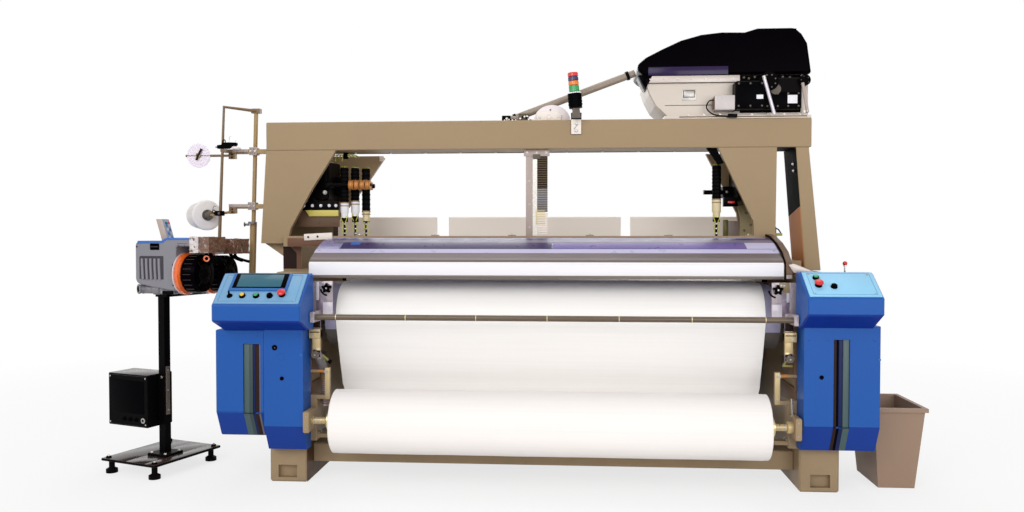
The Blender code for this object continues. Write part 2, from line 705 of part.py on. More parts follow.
def build_side_plates(machine):
    """Plates beside the cloth: a slot and a hand knob, the rail's arm, and a clamp hung below."""
    face = -SEAT - SIDE_PLATE_THICK
    hanger_face = face - 0.01
    hanger_low = SIDE_PLATE_BOTTOM - 0.20
    for name, side, console in (("left", -1, -LEFT_CONSOLE[1]), ("right", 1, RIGHT_CONSOLE[0])):
        low, high = span(side, SIDE_PLATE_IN, SIDE_PLATE_OUT)
        plate = box((low, face, SIDE_PLATE_BOTTOM), (high, -SEAT, SIDE_PLATE_TOP))
        knob_x = side * KNOB_X
        slot = arc(knob_x, KNOB_Z, 0.040, 185, 265, 5) + arc(knob_x, KNOB_Z, 0.032, 265, 185, 5)
        plate = cut(plate, sweep("Y", slot, face - SINK, 0))
        low, high = span(side, console - RAIL_ARM_GAP, console - RAIL_ARM_GAP - RAIL_ARM)
        arm = box((low, RAIL_Y - 0.02, RAIL_Z - 0.025), (high, face + SINK, RAIL_Z + 0.025), 0.003)
        low, high = span(side, HANGER_X - 0.018, HANGER_X + 0.018)
        hanger = box((low, hanger_face, hanger_low), (high, face + SINK, SIDE_PLATE_BOTTOM + 0.02))
        low, high = span(side, HANGER_X - 0.027, HANGER_X + 0.027)
        clamp = box((low, hanger_face - 0.03, hanger_low + 0.095),
                    (high, hanger_face + SINK, hanger_low + 0.138), 0.002)
        low, high = span(side, HANGER_X - 0.022, HANGER_X + 0.012)
        jaw = box((low, hanger_face - 0.022, hanger_low + 0.04),
                  (high, hanger_face + SINK, hanger_low + 0.07), 0.002)
        upper = star_knob(knob_x, KNOB_Z, face, KNOB_RADIUS, 0.030)
        lower = star_knob(side * HANGER_X, hanger_low + 0.016, hanger_face, KNOB_RADIUS * 0.85, 0.028)
        whole = fused(plate, arm, hanger, clamp, jaw, upper, lower)
        if side < 0:
            hose_x = -BEARING_FACE + HOSE_RADIUS + CLEAR
            route = [(-HANGER_X + 0.006, hanger_face + 0.012, hanger_low + 0.01),
                     (-HANGER_X + 0.012, 0.032, hanger_low - 0.04), (hose_x, 0.052, hanger_low - 0.12),
                     (hose_x, 0.055, hanger_low - 0.24)]
            whole = fused(whole, bent_tube(smooth_path(route), HOSE_RADIUS))
        finish("side_plate_" + name, whole, bright_steel(), machine)

    rail_left = LEFT_CONSOLE[1] + RAIL_ARM_GAP + RAIL_ARM + SEAT
    rail_right = RIGHT_CONSOLE[0] - RAIL_ARM_GAP - RAIL_ARM - SEAT
    rail = rod((rail_left, RAIL_Y, RAIL_Z), (rail_right, RAIL_Y, RAIL_Z), RAIL_RADIUS)
    finish("front_rail", rail, bright_steel(), machine)


def build_roll_bearings(machine):
    """The bearings of the cloth roll, each with a stop bar and its cross rod."""
    for name, side in (("left", -1), ("right", 1)):
        low, high = span(side, FRAME_IN - SEAT, BEARING_FACE)
        block = box((low, 0.0, ROLL_Z - 0.115), (high, 0.07, ROLL_Z + 0.105), 0.004)
        low, high = span(side, BEARING_FACE, BEARING_FACE + BEARING_ARM)
        arm = box((low, ROLL_Y - 0.05, ROLL_Z - 0.05), (high, 0.02, ROLL_Z + 0.05), 0.004)
        low, high = span(side, STOP_BAR, STOP_BAR + 0.024)
        bar = box((low, 0.0, ROLL_Z + 0.085), (high, 0.02, ROLL_Z + 0.235))
        low, high = span(side, STOP_BAR, BEARING_FACE + SINK)
        foot = box((low, 0.001, ROLL_Z + 0.086), (high, 0.019, ROLL_Z + 0.104))
        shelf = box((low, 0.005, ROLL_Z - 0.10), (high, 0.055, ROLL_Z - 0.082))
        rod_z = ROLL_Z + 0.217
        tie_end = (side * (STOP_BAR + SINK), 0.01, rod_z)
        tie = rod((side * (FRAME_IN - SEAT), 0.01, rod_z), tie_end, 0.008, ROD_SIDES)
        finish("roll_bearing_" + name, fused(block, arm, bar, foot, shelf, tie), tan_paint(), machine)


def build_takeup(machine):
    length = 2 * (FRAME_IN - SEAT)
    journal = FRAME_IN - SEAT - TAKEUP_END
    shaft = 0.03
    far = length - journal
    profile = [(0, shaft), (journal, shaft), (journal, TAKEUP_RADIUS), (far, TAKEUP_RADIUS),
               (far, shaft), (length, shaft)]
    roller = turned(profile, (-FRAME_IN + SEAT, TAKEUP_Y, TAKEUP_Z), (1, 0, 0), 40)
    finish("takeup_roller", roller, paint("emery", (0.12, 0.11, 0.10), 0.8), machine)


def build_cloth(machine):
    """The cloth runs from the reed over the take-up roller and round behind its roll."""
    fell = REED_Y - 0.012
    wrap_steps = 10
    wrap_end = 200
    # Chords of the arc stay outside the roller.
    inner_radius = (TAKEUP_RADIUS + SEAT) / cos(radians((wrap_end - 90) / 2 / wrap_steps))
    outer_radius = inner_radius + CLOTH_THICK
    inner, outer = [], []
    for run, radius in ((inner, inner_radius), (outer, outer_radius)):
        run.append((fell, TAKEUP_Z + radius))
        run.extend(arc(TAKEUP_Y, TAKEUP_Z, radius, 90, wrap_end, wrap_steps))
    behind = ROLL_Y + ROLL_RADIUS + CLEAR
    inner += [(behind + 0.094, ROLL_Z + 0.135), (behind + 0.096, ROLL_Z + 0.06),
              (behind + 0.062, ROLL_Z - 0.03), (behind - 0.014, ROLL_Z - 0.092)]
    outer += [(behind + 0.090, ROLL_Z + 0.135), (behind + 0.091, ROLL_Z + 0.06),
              (behind + 0.058, ROLL_Z - 0.027), (behind - 0.016, ROLL_Z - 0.088)]
    cloth = sweep("X", inner + outer[::-1], CLOTH_LEFT, CLOTH_RIGHT)
    # Behind its roll the cloth draws in to the roll's width.
    draw_top = inner[-4][1]
    for vertex in cloth.data.vertices:
        share = min(1.0, max(0.0, (draw_top - vertex.co.z) / (draw_top - ROLL_Z)))
        edge, wound = (CLOTH_LEFT, ROLL_LEFT) if vertex.co.x < 0 else (CLOTH_RIGHT, ROLL_RIGHT)
        vertex.co.x = edge + (wound - edge) * share
    finish("cloth_sheet", cloth, white_cloth(), machine)

    left = -BEARING_FACE + SEAT
    start, end = ROLL_LEFT - left, ROLL_RIGHT - left
    hub_left, hub_right = start - 0.045, end + 0.035
    total = 2 * (BEARING_FACE - SEAT)
    edge = 0.006
    roll = turned([
        (0, ROLL_SHAFT), (hub_left, ROLL_SHAFT), (hub_left, ROLL_HUB), (start, ROLL_HUB),
        (start, ROLL_RADIUS - edge), (start + edge, ROLL_RADIUS), (end - edge, ROLL_RADIUS),
        (end, ROLL_RADIUS - edge), (end, ROLL_HUB), (hub_right, ROLL_HUB), (hub_right, ROLL_SHAFT),
        (total, ROLL_SHAFT)], (left, ROLL_Y, ROLL_Z), (1, 0, 0), 36)
    finish("cloth_roll", roll, white_cloth(), machine, (left, ROLL_Y, ROLL_Z))


def build_hood(machine):
    """A hinged hood: front strip and aluminium band, clear shell, hinge rod at the back."""
    pivot = (HOOD_LEFT, HINGE_Y, HINGE_Z)
    lip = 0.016
    strip = [
        (HOOD_FRONT, HOOD_BOTTOM), (HOOD_FRONT, HOOD_STRIP_TOP), (HOOD_FRONT + lip, HOOD_STRIP_TOP + 0.020),
        (HOOD_BAND_Y, HOOD_BAND_Z), (HOOD_BAND_Y, HOOD_BAND_Z - HOOD_SHELL),
        (HOOD_FRONT + lip + HOOD_SHELL, HOOD_STRIP_TOP + 0.012),
        (HOOD_FRONT + HOOD_SHELL, HOOD_STRIP_TOP - SINK), (HOOD_FRONT + HOOD_SHELL, HOOD_BOTTOM + HOOD_SHELL),
        (HOOD_FRONT + lip, HOOD_BOTTOM + HOOD_SHELL), (HOOD_FRONT + lip, HOOD_BOTTOM),
    ]
    band = sweep("X", strip, HOOD_LEFT, HOOD_RIGHT)
    aluminium = paint("aluminium", (0.55, 0.54, 0.56), 0.35, 1.0)
    finish("hood_band", band, aluminium, machine, pivot)

    steps = 7
    start = (HOOD_BAND_Y + SEAT, HOOD_BAND_Z)
    end = (HINGE_Y - 0.004, HINGE_Z + 0.004)
    top = []
    for step in range(steps + 1):
        t = step / steps
        y = start[0] + (end[0] - start[0]) * t
        z = start[1] + (end[1] - start[1]) * t + HOOD_BULGE * sin(pi * t)
        top.append((y, z))
    under = [(y, z - HOOD_SHELL) for y, z in reversed(top)]
    shell = sweep("X", top + under, HOOD_LEFT, HOOD_RIGHT)
    hinge = rod(pivot, (HOOD_RIGHT, HINGE_Y, HINGE_Z), HINGE_RADIUS, 16)
    clear_violet = paint("clear_violet", (0.45, 0.42, 0.72), 0.1, 0.0, 0.5)
    finish("hood_glass", fused(shell, hinge), clear_violet, machine, pivot)

    bar_front = HINGE_Y + HINGE_RADIUS + PLAY
    bar = box((-FRAME_OUT - 0.07, bar_front, HINGE_Z - 0.038),
              (RIGHT_COLUMN[1], PORTAL_FRONT - SEAT, HINGE_Z + 0.017))
    finish("hood_hinge_bar", bar, tan_paint(), machine)

    seat = FRAME_TOP + SEAT
    back = bar_front - 0.01
    outline = [
        (-0.02, seat), (-0.012, FRAME_TOP + 0.055), (0.06, FRAME_TOP + 0.105), (0.17, FRAME_TOP + 0.145),
        (0.30, FRAME_TOP + 0.175), (back, FRAME_TOP + 0.185), (back, seat),
    ]
    low = HOOD_RIGHT + CLEAR
    end_plate = sweep("X", outline, low, low + HOOD_END_THICK, 0.003)
    foot = box((low + SINK, 0.12, seat), (FRAME_IN + 0.05, back - SINK, seat + 0.03))
    brown = paint("brown_paint", (0.14, 0.09, 0.06), 0.45)
    finish("hood_end_right", fused(end_plate, foot), brown, machine)


def build_healds(machine):
    """Frames with a thin wire field; two lifters on each rise to the gear in the columns."""
    neck = HEALD_TOP + 0.125
    sink = 0.01
    for number in range(HEALD_COUNT):
        y = HEALD_FIRST_Y + number * HEALD_PITCH
        near, far = y - HEALD_THICK / 2, y + HEALD_THICK / 2
        wires = box((-HEALD_HALF + sink, y - WIRE_SHEET / 2, HEALD_BOTTOM + sink),
                    (HEALD_HALF - sink, y + WIRE_SHEET / 2, HEALD_TOP - sink))
        top = box((-HEALD_HALF, near, HEALD_TOP - HEALD_RAIL), (HEALD_HALF, far, HEALD_TOP))
        bottom = box((-HEALD_HALF, near, HEALD_BOTTOM), (HEALD_HALF, far, HEALD_BOTTOM + HEALD_RAIL))
        stiles = []
        for x in (-HEALD_HALF, HEALD_HALF - PLATE):
            stiles.append(box((x, near + 0.001, HEALD_BOTTOM + SINK),
                              (x + PLATE, far - 0.001, HEALD_TOP - SINK)))
        lifters = []
        for x in (-HEALD_HALF + LIFTERS_LEFT[number], HEALD_HALF - LIFTERS_RIGHT[number]):
            lifters.append(box((x - LIFTER_HOOK, y - LIFTER_HOOK, HEALD_TOP - sink),
                               (x + LIFTER_HOOK, y + LIFTER_HOOK, neck)))
            reach = LIFTER_TOP - neck
            profile = [(0, 0.013), (0.05, 0.013), (0.05, LIFTER_RADIUS), (reach - 0.005, LIFTER_RADIUS),
                       (reach + 0.005, LIFTER_RADIUS * 0.6)]
            sleeve = turned(profile, (x, y, neck - 0.005), (0, 0, 1), ROD_SIDES)
            for vertex in sleeve.data.vertices:
                vertex.co.x = x + (vertex.co.x - x) * LIFTER_SPREAD
            lifters.append(sleeve)
        whole = fused(wires, top, bottom, *stiles, *lifters)
        finish("heald_frame_%d" % (number + 1), whole, black_plastic(), machine, (0, y, HEALD_BOTTOM))


def build_sley(machine):
    ends = FRAME_IN - SEAT
    half = TAKEUP_END - 0.015
    top = FRAME_TOP + 0.058
    beam = box((-ends, REED_Y - 0.04, FRAME_TOP - 0.14), (ends, REED_Y + 0.03, FRAME_TOP - 0.075), 0.004)
    reed = box((-half, REED_Y - 0.006, FRAME_TOP - 0.08), (half, REED_Y + 0.006, top - 0.018))
    cap = box((-half, REED_Y - 0.010, top - 0.023), (half, REED_Y + 0.010, top))
    finish("sley_and_reed", fused(beam, reed, cap), bright_steel(), machine)


def build_warp(machine):
    ends = FRAME_IN - SEAT
    length = 2 * ends
    journal, shaft = 0.03, 0.02
    far = length - journal
    profile = [(0, shaft), (journal, shaft), (journal, BACKREST_RADIUS), (far, BACKREST_RADIUS),
               (far, shaft), (length, shaft)]
    backrest = turned(profile, (-ends, BACKREST_Y, BACKREST_Z), (1, 0, 0))
    finish("backrest_roller", backrest, bright_steel(), machine)

    flange, inset, shaft = 0.012, 0.05, 0.03
    far = length - inset
    profile = [(0, shaft), (inset, shaft), (inset, BEAM_FLANGE), (inset + flange, BEAM_FLANGE),
               (inset + flange, BEAM_WOUND), (far - flange, BEAM_WOUND), (far - flange, BEAM_FLANGE),
               (far, BEAM_FLANGE), (far, shaft), (length, shaft)]
    beam = turned(profile, (-ends, BEAM_Y, BEAM_Z), (1, 0, 0), 28)
    finish("warp_beam", beam, paint("cast_grey", (0.25, 0.25, 0.26), 0.5, 0.6), machine)

    start = HEALD_FIRST_Y + HEALD_PITCH * (HEALD_COUNT - 1) + 0.02
    thick, turns = 0.003, 5
    eye = WARP_Z - 0.023
    wound = BEAM_Y + BEAM_WOUND + SEAT
    # Chords of the arc stay outside the roller.
    inner_radius = (BACKREST_RADIUS + SEAT) / cos(pi / 4 / turns)
    under = [(start, eye)] + arc(BACKREST_Y, BACKREST_Z, inner_radius, 90, 0, turns) + [(wound, BEAM_Z)]
    over = [(start, eye + thick)] + arc(BACKREST_Y, BACKREST_Z, inner_radius + thick, 90, 0, turns)
    over.append((wound + thick, BEAM_Z))
    half = CLOTH_RIGHT - 0.015
    finish("warp_sheet", sweep("X", under + over[::-1], -half, half), white_cloth(), machine)


def build_rear_guards(machine):
    near = GUARD_Y + GUARD_THICK + SEAT
    end = FRAME_OUT - 0.03
    rail = box((-end, near, FRAME_TOP + SEAT), (end, near + 0.03, GUARD_BOTTOM + 0.045))
    finish("guard_rail", rail, tan_paint(), machine)
    for number, (low, high) in enumerate(GUARD_EDGES, 1):
        panel = box((low, GUARD_Y, GUARD_BOTTOM), (high, GUARD_Y + GUARD_THICK, GUARD_TOP), 0.003)
        finish("rear_guard_%d" % number, panel, paint("pale_beige", (0.72, 0.66, 0.58), 0.5), machine)


def build_drive(machine):
    """A belt guard on the outside of the right frame, with the motor at its foot."""
    side = FRAME_OUT + SEAT
    y, top_z, motor_z, guard_thick = BEAM_Y - 0.01, BEAM_Z + 0.06, BEAM_Z - 0.25, 0.09
    outline = arc(y, top_z, 0.17, 0, 180, 12) + arc(y, motor_z, 0.11, 180, 360, 8)
    guard = sweep("X", outline, side, side + guard_thick, 0.005)
    body = 0.10
    motor = turned([(0, body * 0.75), (0.03, body), (0.21, body), (0.23, body * 0.7)],
                   (side + guard_thick - 0.01, y, motor_z), (1, 0, 0))
    finish("drive_motor", fused(guard, motor), paint("motor_grey", (0.20, 0.22, 0.24), 0.5), machine)


def build_dobby_case(machine):
    """The housing tapers to its left like a boat's bow; a moulded cover closes it."""
    base_low = GANTRY_TOP + SEAT
    base_top = base_low + DOBBY_BASE
    back = DOBBY_FRONT + DOBBY_DEPTH
    left, right, rim = DOBBY_LEFT, DOBBY_RIGHT, DOBBY_RIM
    outline = [
        (left, rim), (left, rim - 0.04), (left + 0.021, rim - 0.095), (left + 0.052, rim - 0.154),
        (left + 0.116, base_top + 0.001), (right, base_top + 0.001), (right, rim),
    ]
    body = sweep("Y", outline, DOBBY_FRONT, back, 0.006)
    base_front = PORTAL_FRONT + 0.01
    base = box((left + 0.096, base_front, base_low), (GANTRY_RIGHT, back - 0.01, base_top + 0.003))
    flange_depth = 0.008
    flange = box((left - 0.006, DOBBY_FRONT - flange_depth, rim - 0.038),
                 (left + 0.481, DOBBY_FRONT + 0.01, rim))
    silver = paint("silver_paint", (0.52, 0.47, 0.42), 0.4, 0.3)
    finish("dobby_housing", fused(body, base, flange), silver, machine)

    seat = rim + SEAT
    top = rim + DOBBY_COVER
    overhang = 0.012
    outline = [
        (left - 0.005, seat), (left - 0.038, rim + 0.030), (left - 0.038, rim + 0.059),
        (left + 0.005, rim + 0.095), (left + 0.086, rim + 0.136), (left + 0.183, top - 0.056),
        (left + 0.286, top - 0.028), (left + 0.390, top - 0.017), (left + 0.506, top - 0.019),
        (left + 0.570, top), (right - 0.071, top), (right - 0.036, top - 0.030),
        (right - 0.007, top - 0.079), (right + 0.013, rim + 0.015), (right + 0.013, seat),
    ]
    cover = sweep("Y", outline, DOBBY_FRONT - overhang, back + overhang, 0.022, 2)
    finish("dobby_cover", cover, black_plastic(), machine)


def build_dobby_drive(machine):
    """Gearbox, motor, discs and levers on the front of the dobby, and the motor's short lead."""
    front = DOBBY_FRONT - SEAT
    left, low = DOBBY_LEFT + 0.444, DOBBY_RIM - 0.185
    gear = box((left, front - 0.09, low), (left + 0.147, front, low + 0.14), 0.006)
    case = box((left + 0.132, front - 0.07, low), (left + 0.332, front - 0.001, low + 0.157), 0.006)
    disc_x, disc_z = left + 0.167, low + 0.137
    disc = rod((disc_x, front - 0.088, disc_z), (disc_x, front - 0.06, disc_z), 0.047)
    small_x, small_z = left + 0.342, low + 0.14
    small = rod((small_x, front - 0.09, small_z), (small_x, front, small_z), 0.028)
    lever_y = front - 0.094
    lever = rod((disc_x - 0.029, lever_y, disc_z + 0.024), (disc_x + 0.025, lever_y, disc_z - 0.167),
                0.008, ROD_SIDES)
    lever_y = front - 0.092
    lever_2 = rod((small_x - 0.012, lever_y, small_z - 0.015), (small_x + 0.012, lever_y, small_z - 0.155),
                  0.007, ROD_SIDES)
    motor = box((left - 0.10, front - 0.085, low - 0.003), (left + 0.007, front - 0.01, low + 0.068), 0.004)
    lead_y = front - 0.055
    lead_foot = low - 0.031
    route = []
    for along, z in ((0.095, low + 0.05), (0.125, low + 0.045), (0.138, low + 0.01), (0.105, low - 0.022),
                     (0.05, lead_foot), (0.02, lead_foot)):
        route.append((left - along, lead_y, z))
    lead = bent_tube(smooth_path(route, 3), 0.0035, 1)
    plug = box((left - 0.03, lead_y - 0.01, lead_foot - 0.008),
               (left + 0.015, PORTAL_FRONT + 0.01 - SEAT, lead_foot + 0.010))
    whole = fused(gear, case, motor, disc, small, lever, lever_2, lead, plug)
    finish("dobby_gearbox", whole, black_plastic(), machine)


def build_gantry_fittings(machine):
    gantry = box((GANTRY_LEFT, PORTAL_FRONT, GANTRY_BOTTOM),
                 (GANTRY_RIGHT, PORTAL_FRONT + GANTRY_DEPTH, GANTRY_TOP), 0.004)
    finish("gantry_beam", gantry, tan_paint(), machine)

    y = PORTAL_FRONT + 0.125
    seat = GANTRY_TOP + SEAT
    shoe_x = -0.21
    tube = rod((shoe_x - 0.003, y, seat + 0.020), (DOBBY_LEFT - 0.047, y, DOBBY_RIM + 0.030), 0.019, 16)
    shoe = box((shoe_x - 0.05, y - 0.03, seat), (shoe_x + 0.05, y + 0.03, seat + 0.035), 0.003)
    finish("drive_tube", fused(tube, shoe), cream_tube(), machine)
    pulley_x, pulley = 0.004, 0.096
    outline = [(pulley_x + pulley, seat)]
    for x, z in arc(pulley_x, GANTRY_TOP, pulley, 15, 165, 10):
        outline.append((x, GANTRY_TOP + (z - GANTRY_TOP) * 0.88))
    outline.append((pulley_x - pulley, seat))
    finish("pulley_guard", sweep("Y", outline, y - 0.07, y - 0.025, 0.003), cream_tube(), machine)

    low, high = 0.103, 0.157
    face = PORTAL_FRONT - SEAT
    shelf_z = GANTRY_TOP + 0.023
    plate = box((low, face - 0.006, GANTRY_TOP - 0.076), (high, face, shelf_z + 0.004))
    shelf = box((low, face - 0.045, shelf_z), (high, face, shelf_z + 0.006))
    base = (0.130, face - 0.026, shelf_z + SINK)
    lamp = turned([(0, 0.016), (0.03, 0.018), (0.03, 0.034), (0.105, 0.036), (0.112, 0.028), (0.112, 0.024),
                   (0.205, 0.024), (0.210, 0.020)], base, (-0.09, 0, 1), 20)
    finish("signal_lamp", fused(plate, shelf, lamp), black_plastic(), machine)


def build_feeder_stand(stand):
    low, high = STAND_PLATE
    inset = 0.035
    plate_top = STAND_FOOT + STAND_PLATE_THICK
    plate = box((*low, STAND_FOOT), (*high, plate_top), 0.003)
    feet = []
    for x in (low[0] + inset, high[0] - inset):
        for y in (low[1] + inset, high[1] - inset):
            profile = [(0, 0.028), (0.018, 0.028), (0.026, 0.014), (STAND_FOOT + SINK, 0.014)]
            feet.append(turned(profile, (x, y, 0), (0, 0, 1), 16))
    pole = box((-POLE_HALF, -POLE_HALF, plate_top - SINK), (POLE_HALF, POLE_HALF, POLE_TOP))
    collar = box((-0.06, -0.06, plate_top - SINK), (0.06, 0.06, plate_top + 0.012), 0.003)
    arm = box((-POLE_HALF, -0.035, POLE_TOP - STAND_ARM), (0.055, FEEDERS[1][1] + 0.04, POLE_TOP))
    finish("feeder_stand", fused(plate, pole, collar, arm, *feet), black_plastic(), stand)
    case = box((-0.284, -0.094, 0.22), (-POLE_HALF - SEAT, 0.069, 0.481), 0.003)
    finish("feeder_control_box", case, black_plastic(), stand)


def feeder_housing(x, y, z):
    """The housing with its stepped top and sensor arm; cooling grooves on both sides."""
    z += FEEDER_RISE
    end = x + FEEDER_END
    arm_end = x + 0.235
    outline = [
        (x - 0.165, z - 0.050), (x - 0.158, z - 0.068), (x - 0.140, z - 0.078), (x + 0.03, z - 0.106),
        (end - 0.012, z - 0.108), (end, z - 0.090), (end, z + 0.112), (arm_end, z + 0.112),
        (arm_end, z + 0.135), (x + 0.135, z + 0.150), (x + 0.005, z + 0.148), (x - 0.015, z + 0.134),
        (x - 0.155, z + 0.134), (x - 0.165, z + 0.122),
    ]
    housing = sweep("Y", outline, y - FEEDER_HALF, y + FEEDER_HALF, 0.005)
    grooves, pitch, depth = 5, 0.024, 0.006
    for side in (-1, 1):
        face = y + side * FEEDER_HALF
        low, high = sorted((face - side * depth, face + side * SINK))
        for number in range(grooves):
            left = x - 0.142 + number * pitch
            housing = cut(housing, box((left, low, z - 0.050), (left + pitch * 0.45, high, z + 0.060)))
    return housing


def build_feeders(machine):
    stand = empty("feeder_station", machine, (STAND_X, STAND_Y, 0), STAND_TURN)
    build_feeder_stand(stand)
    pair = empty("feeder_pair", machine, (STAND_X, STAND_Y, 0), FEEDER_TURN)
    grey = paint("feeder_grey", (0.30, 0.30, 0.33), 0.45)
    orange = paint("orange", (0.85, 0.14, 0.01), 0.4)
    for number, (x, y, drop) in enumerate(FEEDERS, 1):
        z = FEEDER_AXIS_Z + drop
        end = x + FEEDER_END
        disc_near = end + CLEAR
        disc_far = disc_near + FEEDER_DISC_THICK
        spindle = rod((end - 0.01, y, z), (disc_far + 0.02, y, z), FEEDER_SPINDLE)
        small = FEEDER_DRUM - 0.01
        profile = [(0, small), (0.01, FEEDER_DRUM), (FEEDER_DRUM_LENGTH - 0.015, FEEDER_DRUM),
                   (FEEDER_DRUM_LENGTH, small - 0.01)]
        drum = turned(profile, (disc_far + CLEAR, y, z), (1, 0, 0), 28)
        clamp = box((x - 0.045, y - 0.05, POLE_TOP + SEAT), (x + 0.035, y + 0.05, z - 0.070), 0.004)
        grip_z = POLE_TOP + SEAT + FEEDER_CLAMP + SINK
        grip = rod((x - 0.150, y - 0.03, grip_z), (x - 0.02, y - 0.03, grip_z), FEEDER_CLAMP, 16)
        parts = [spindle, drum, clamp, grip]
        if number == 1:
            parts.append(keypad(x, y, z + FEEDER_RISE + 0.130))
        finish("feeder_%d_body" % number, fused(feeder_housing(x, y, z), *parts), grey, pair)
        hole = (FEEDER_SPINDLE + PLAY) / cos(pi / SIDES)
        rim = FEEDER_DISC - 0.012
        profile = [(0, rim), (0.008, FEEDER_DISC), (0.022, FEEDER_DISC), (FEEDER_DISC_THICK, rim)]
        ring = turned(profile, (disc_near, y, z), (1, 0, 0), 28)
        bore = rod((disc_near - 0.01, y, z), (disc_far + 0.01, y, z), hole)
        finish("feeder_%d_disc" % number, cut(ring, bore), orange, pair, (disc_near, y, z))


def keypad(x, y, z):
    """The keypad that leans back on top of the first feeder."""
    lean, height = 0.30, 0.115
    pad = box((x - 0.028, y - 0.045, z), (x + 0.008, y + 0.005, z + height), 0.003)
    for vertex in pad.data.vertices:
        vertex.co.x -= (vertex.co.z - z) * lean
    return pad


def yarn_x(z):
    """Where the leaning pole of the yarn stand is at a height."""
    return YARN_X - YARN_LEAN * (YARN_TOP - z) / (YARN_TOP - YARN_FOOT)


def build_yarn_stand(machine):
    """A pole clamped to the left column, with arms that carry the cone, the disc and a guide rod."""
    side = GANTRY_LEFT + 0.072 - SEAT
    foot, sleeve, top = [(yarn_x(z), YARN_Y, z) for z in (YARN_FOOT, YARN_SLEEVE_TOP, YARN_TOP)]
    tube = rod(foot, sleeve, YARN_TUBE, 16)
    pole = rod((sleeve[0], YARN_Y, YARN_SLEEVE_TOP - 0.01), top, YARN_POLE, 16)
    bracket_z = YARN_FOOT + 0.03
    bracket = box((yarn_x(bracket_z), YARN_Y - 0.02, bracket_z), (side, YARN_Y + 0.02, bracket_z + 0.04))
    front = YARN_Y - YARN_ARM
    # The column's outer face leans out towards its step.
    lean = COLUMN_LEAN / (GANTRY_BOTTOM - COLUMN_STEP)
    thick, block_drop, block_wide = 0.024, 0.026, 0.036
    block_x = YARN_X - 0.143
    pieces = []
    for z in (YARN_UPPER, YARN_LOWER):
        wall = GANTRY_LEFT - (GANTRY_BOTTOM - z) * lean - SEAT
        pieces.append(box((block_x, front, z), (wall, YARN_Y, z + thick), 0.002))
        pieces.append(box((block_x, front, z - block_drop), (block_x + block_wide, YARN_Y, z + SINK), 0.002))
        low_x, high_x = yarn_x(z) - 0.02, yarn_x(z) + 0.02
        pieces.append(box((low_x, YARN_Y - 0.036, z - 0.006), (high_x, YARN_Y + 0.016, z + 0.034), 0.003))
    along = Vector((cos(YARN_CONE_TURN), -sin(YARN_CONE_TURN), 0))
    joint = Vector((YARN_X - 0.215, YARN_Y - 0.0945, YARN_LOWER - 0.036))
    pin = rod(joint, joint + along * 0.03, 0.007, ROD_SIDES)
    elbow = (block_x + block_wide / 2, front + YARN_ARM / 2, YARN_LOWER - 0.016)
    holder = rod(joint + along * 0.015, elbow, 0.007, ROD_SIDES)
    whole = fused(tube, pole, bracket, holder, pin, *pieces)
    finish("yarn_stand_pole", whole, cream_tube(), machine)

    # The leaning pole's end stands a little higher at one side.
    cap_low = YARN_TOP + YARN_POLE * YARN_LEAN / (YARN_TOP - YARN_FOOT) + SEAT
    guide_x = YARN_X - 0.138
    guide_y = front - 0.065
    guide = bent_tube([(YARN_X + 0.02, YARN_Y, cap_low + 0.010), (guide_x, guide_y, cap_low + 0.022),
                       (guide_x - 0.030, guide_y, YARN_TOP - 0.672)], 0.009)
    cap = box((YARN_X - 0.022, YARN_Y - 0.016, cap_low), (YARN_X + 0.026, YARN_Y + 0.016, cap_low + 0.024))
    clamp = box((guide_x - 0.018, guide_y - 0.010, YARN_UPPER + 0.004),
                (guide_x + 0.016, front - SEAT, YARN_UPPER + 0.018))
    finish("yarn_guide_rod", fused(cap, guide, clamp), cream_tube(), machine)

    length = 0.175
    start = joint - along * (length + SEAT)
    cone = turned([(0, 0.064), (0.004, 0.068), (0.120, 0.082), (0.130, 0.078), (0.130, 0.030), (0.150, 0.024),
                   (length, 0.012)], start, along, 32)
    finish("yarn_cone", cone, white_cloth(), machine)

    disc_y, disc_z = front + YARN_ARM / 2, YARN_UPPER - 0.008
    disc_x, disc_radius, reach = YARN_X - 0.312, 0.065, 0.073
    disc = turned([(0, disc_radius), (0.004, disc_radius)], (disc_x, disc_y - 0.006, disc_z), (0, 1, 0), 32)
    pin = rod((disc_x - reach, disc_y, disc_z), (block_x - SEAT, disc_y, disc_z), 0.006, ROD_SIDES)
    finish("yarn_disc", fused(disc, pin), paint("disc_white", (0.75, 0.70, 0.78), 0.3), machine)


def build_bin(machine):
    """An open bin whose walls flare out to a turned lip."""
    x, y = BIN_LOW
    width, depth = BIN_SIZE

    def loft(levels):
        bm = bmesh.new()
        rings = []
        for height, grow in levels:
            low_x, low_y, high_x, high_y = x - grow, y - grow, x + width + grow, y + depth + grow
            corners = [(low_x, low_y), (high_x, low_y), (high_x, high_y), (low_x, high_y)]
            rings.append([bm.verts.new((a, b, height)) for a, b in corners])
        skin_rings(bm, rings)
        return to_object(bm)

    lip_low = BIN_HEIGHT - BIN_LIP_HEIGHT
    lip = BIN_FLARE + BIN_LIP
    outer = loft([(0, 0), (lip_low, BIN_FLARE), (lip_low, lip), (BIN_HEIGHT, lip)])
    inner = loft([(BIN_WALL, -BIN_WALL), (BIN_HEIGHT + 0.02, BIN_FLARE - BIN_WALL)])
    finish("waste_bin", cut(outer, inner), paint("bin_plastic", (0.32, 0.23, 0.16), 0.6), machine)


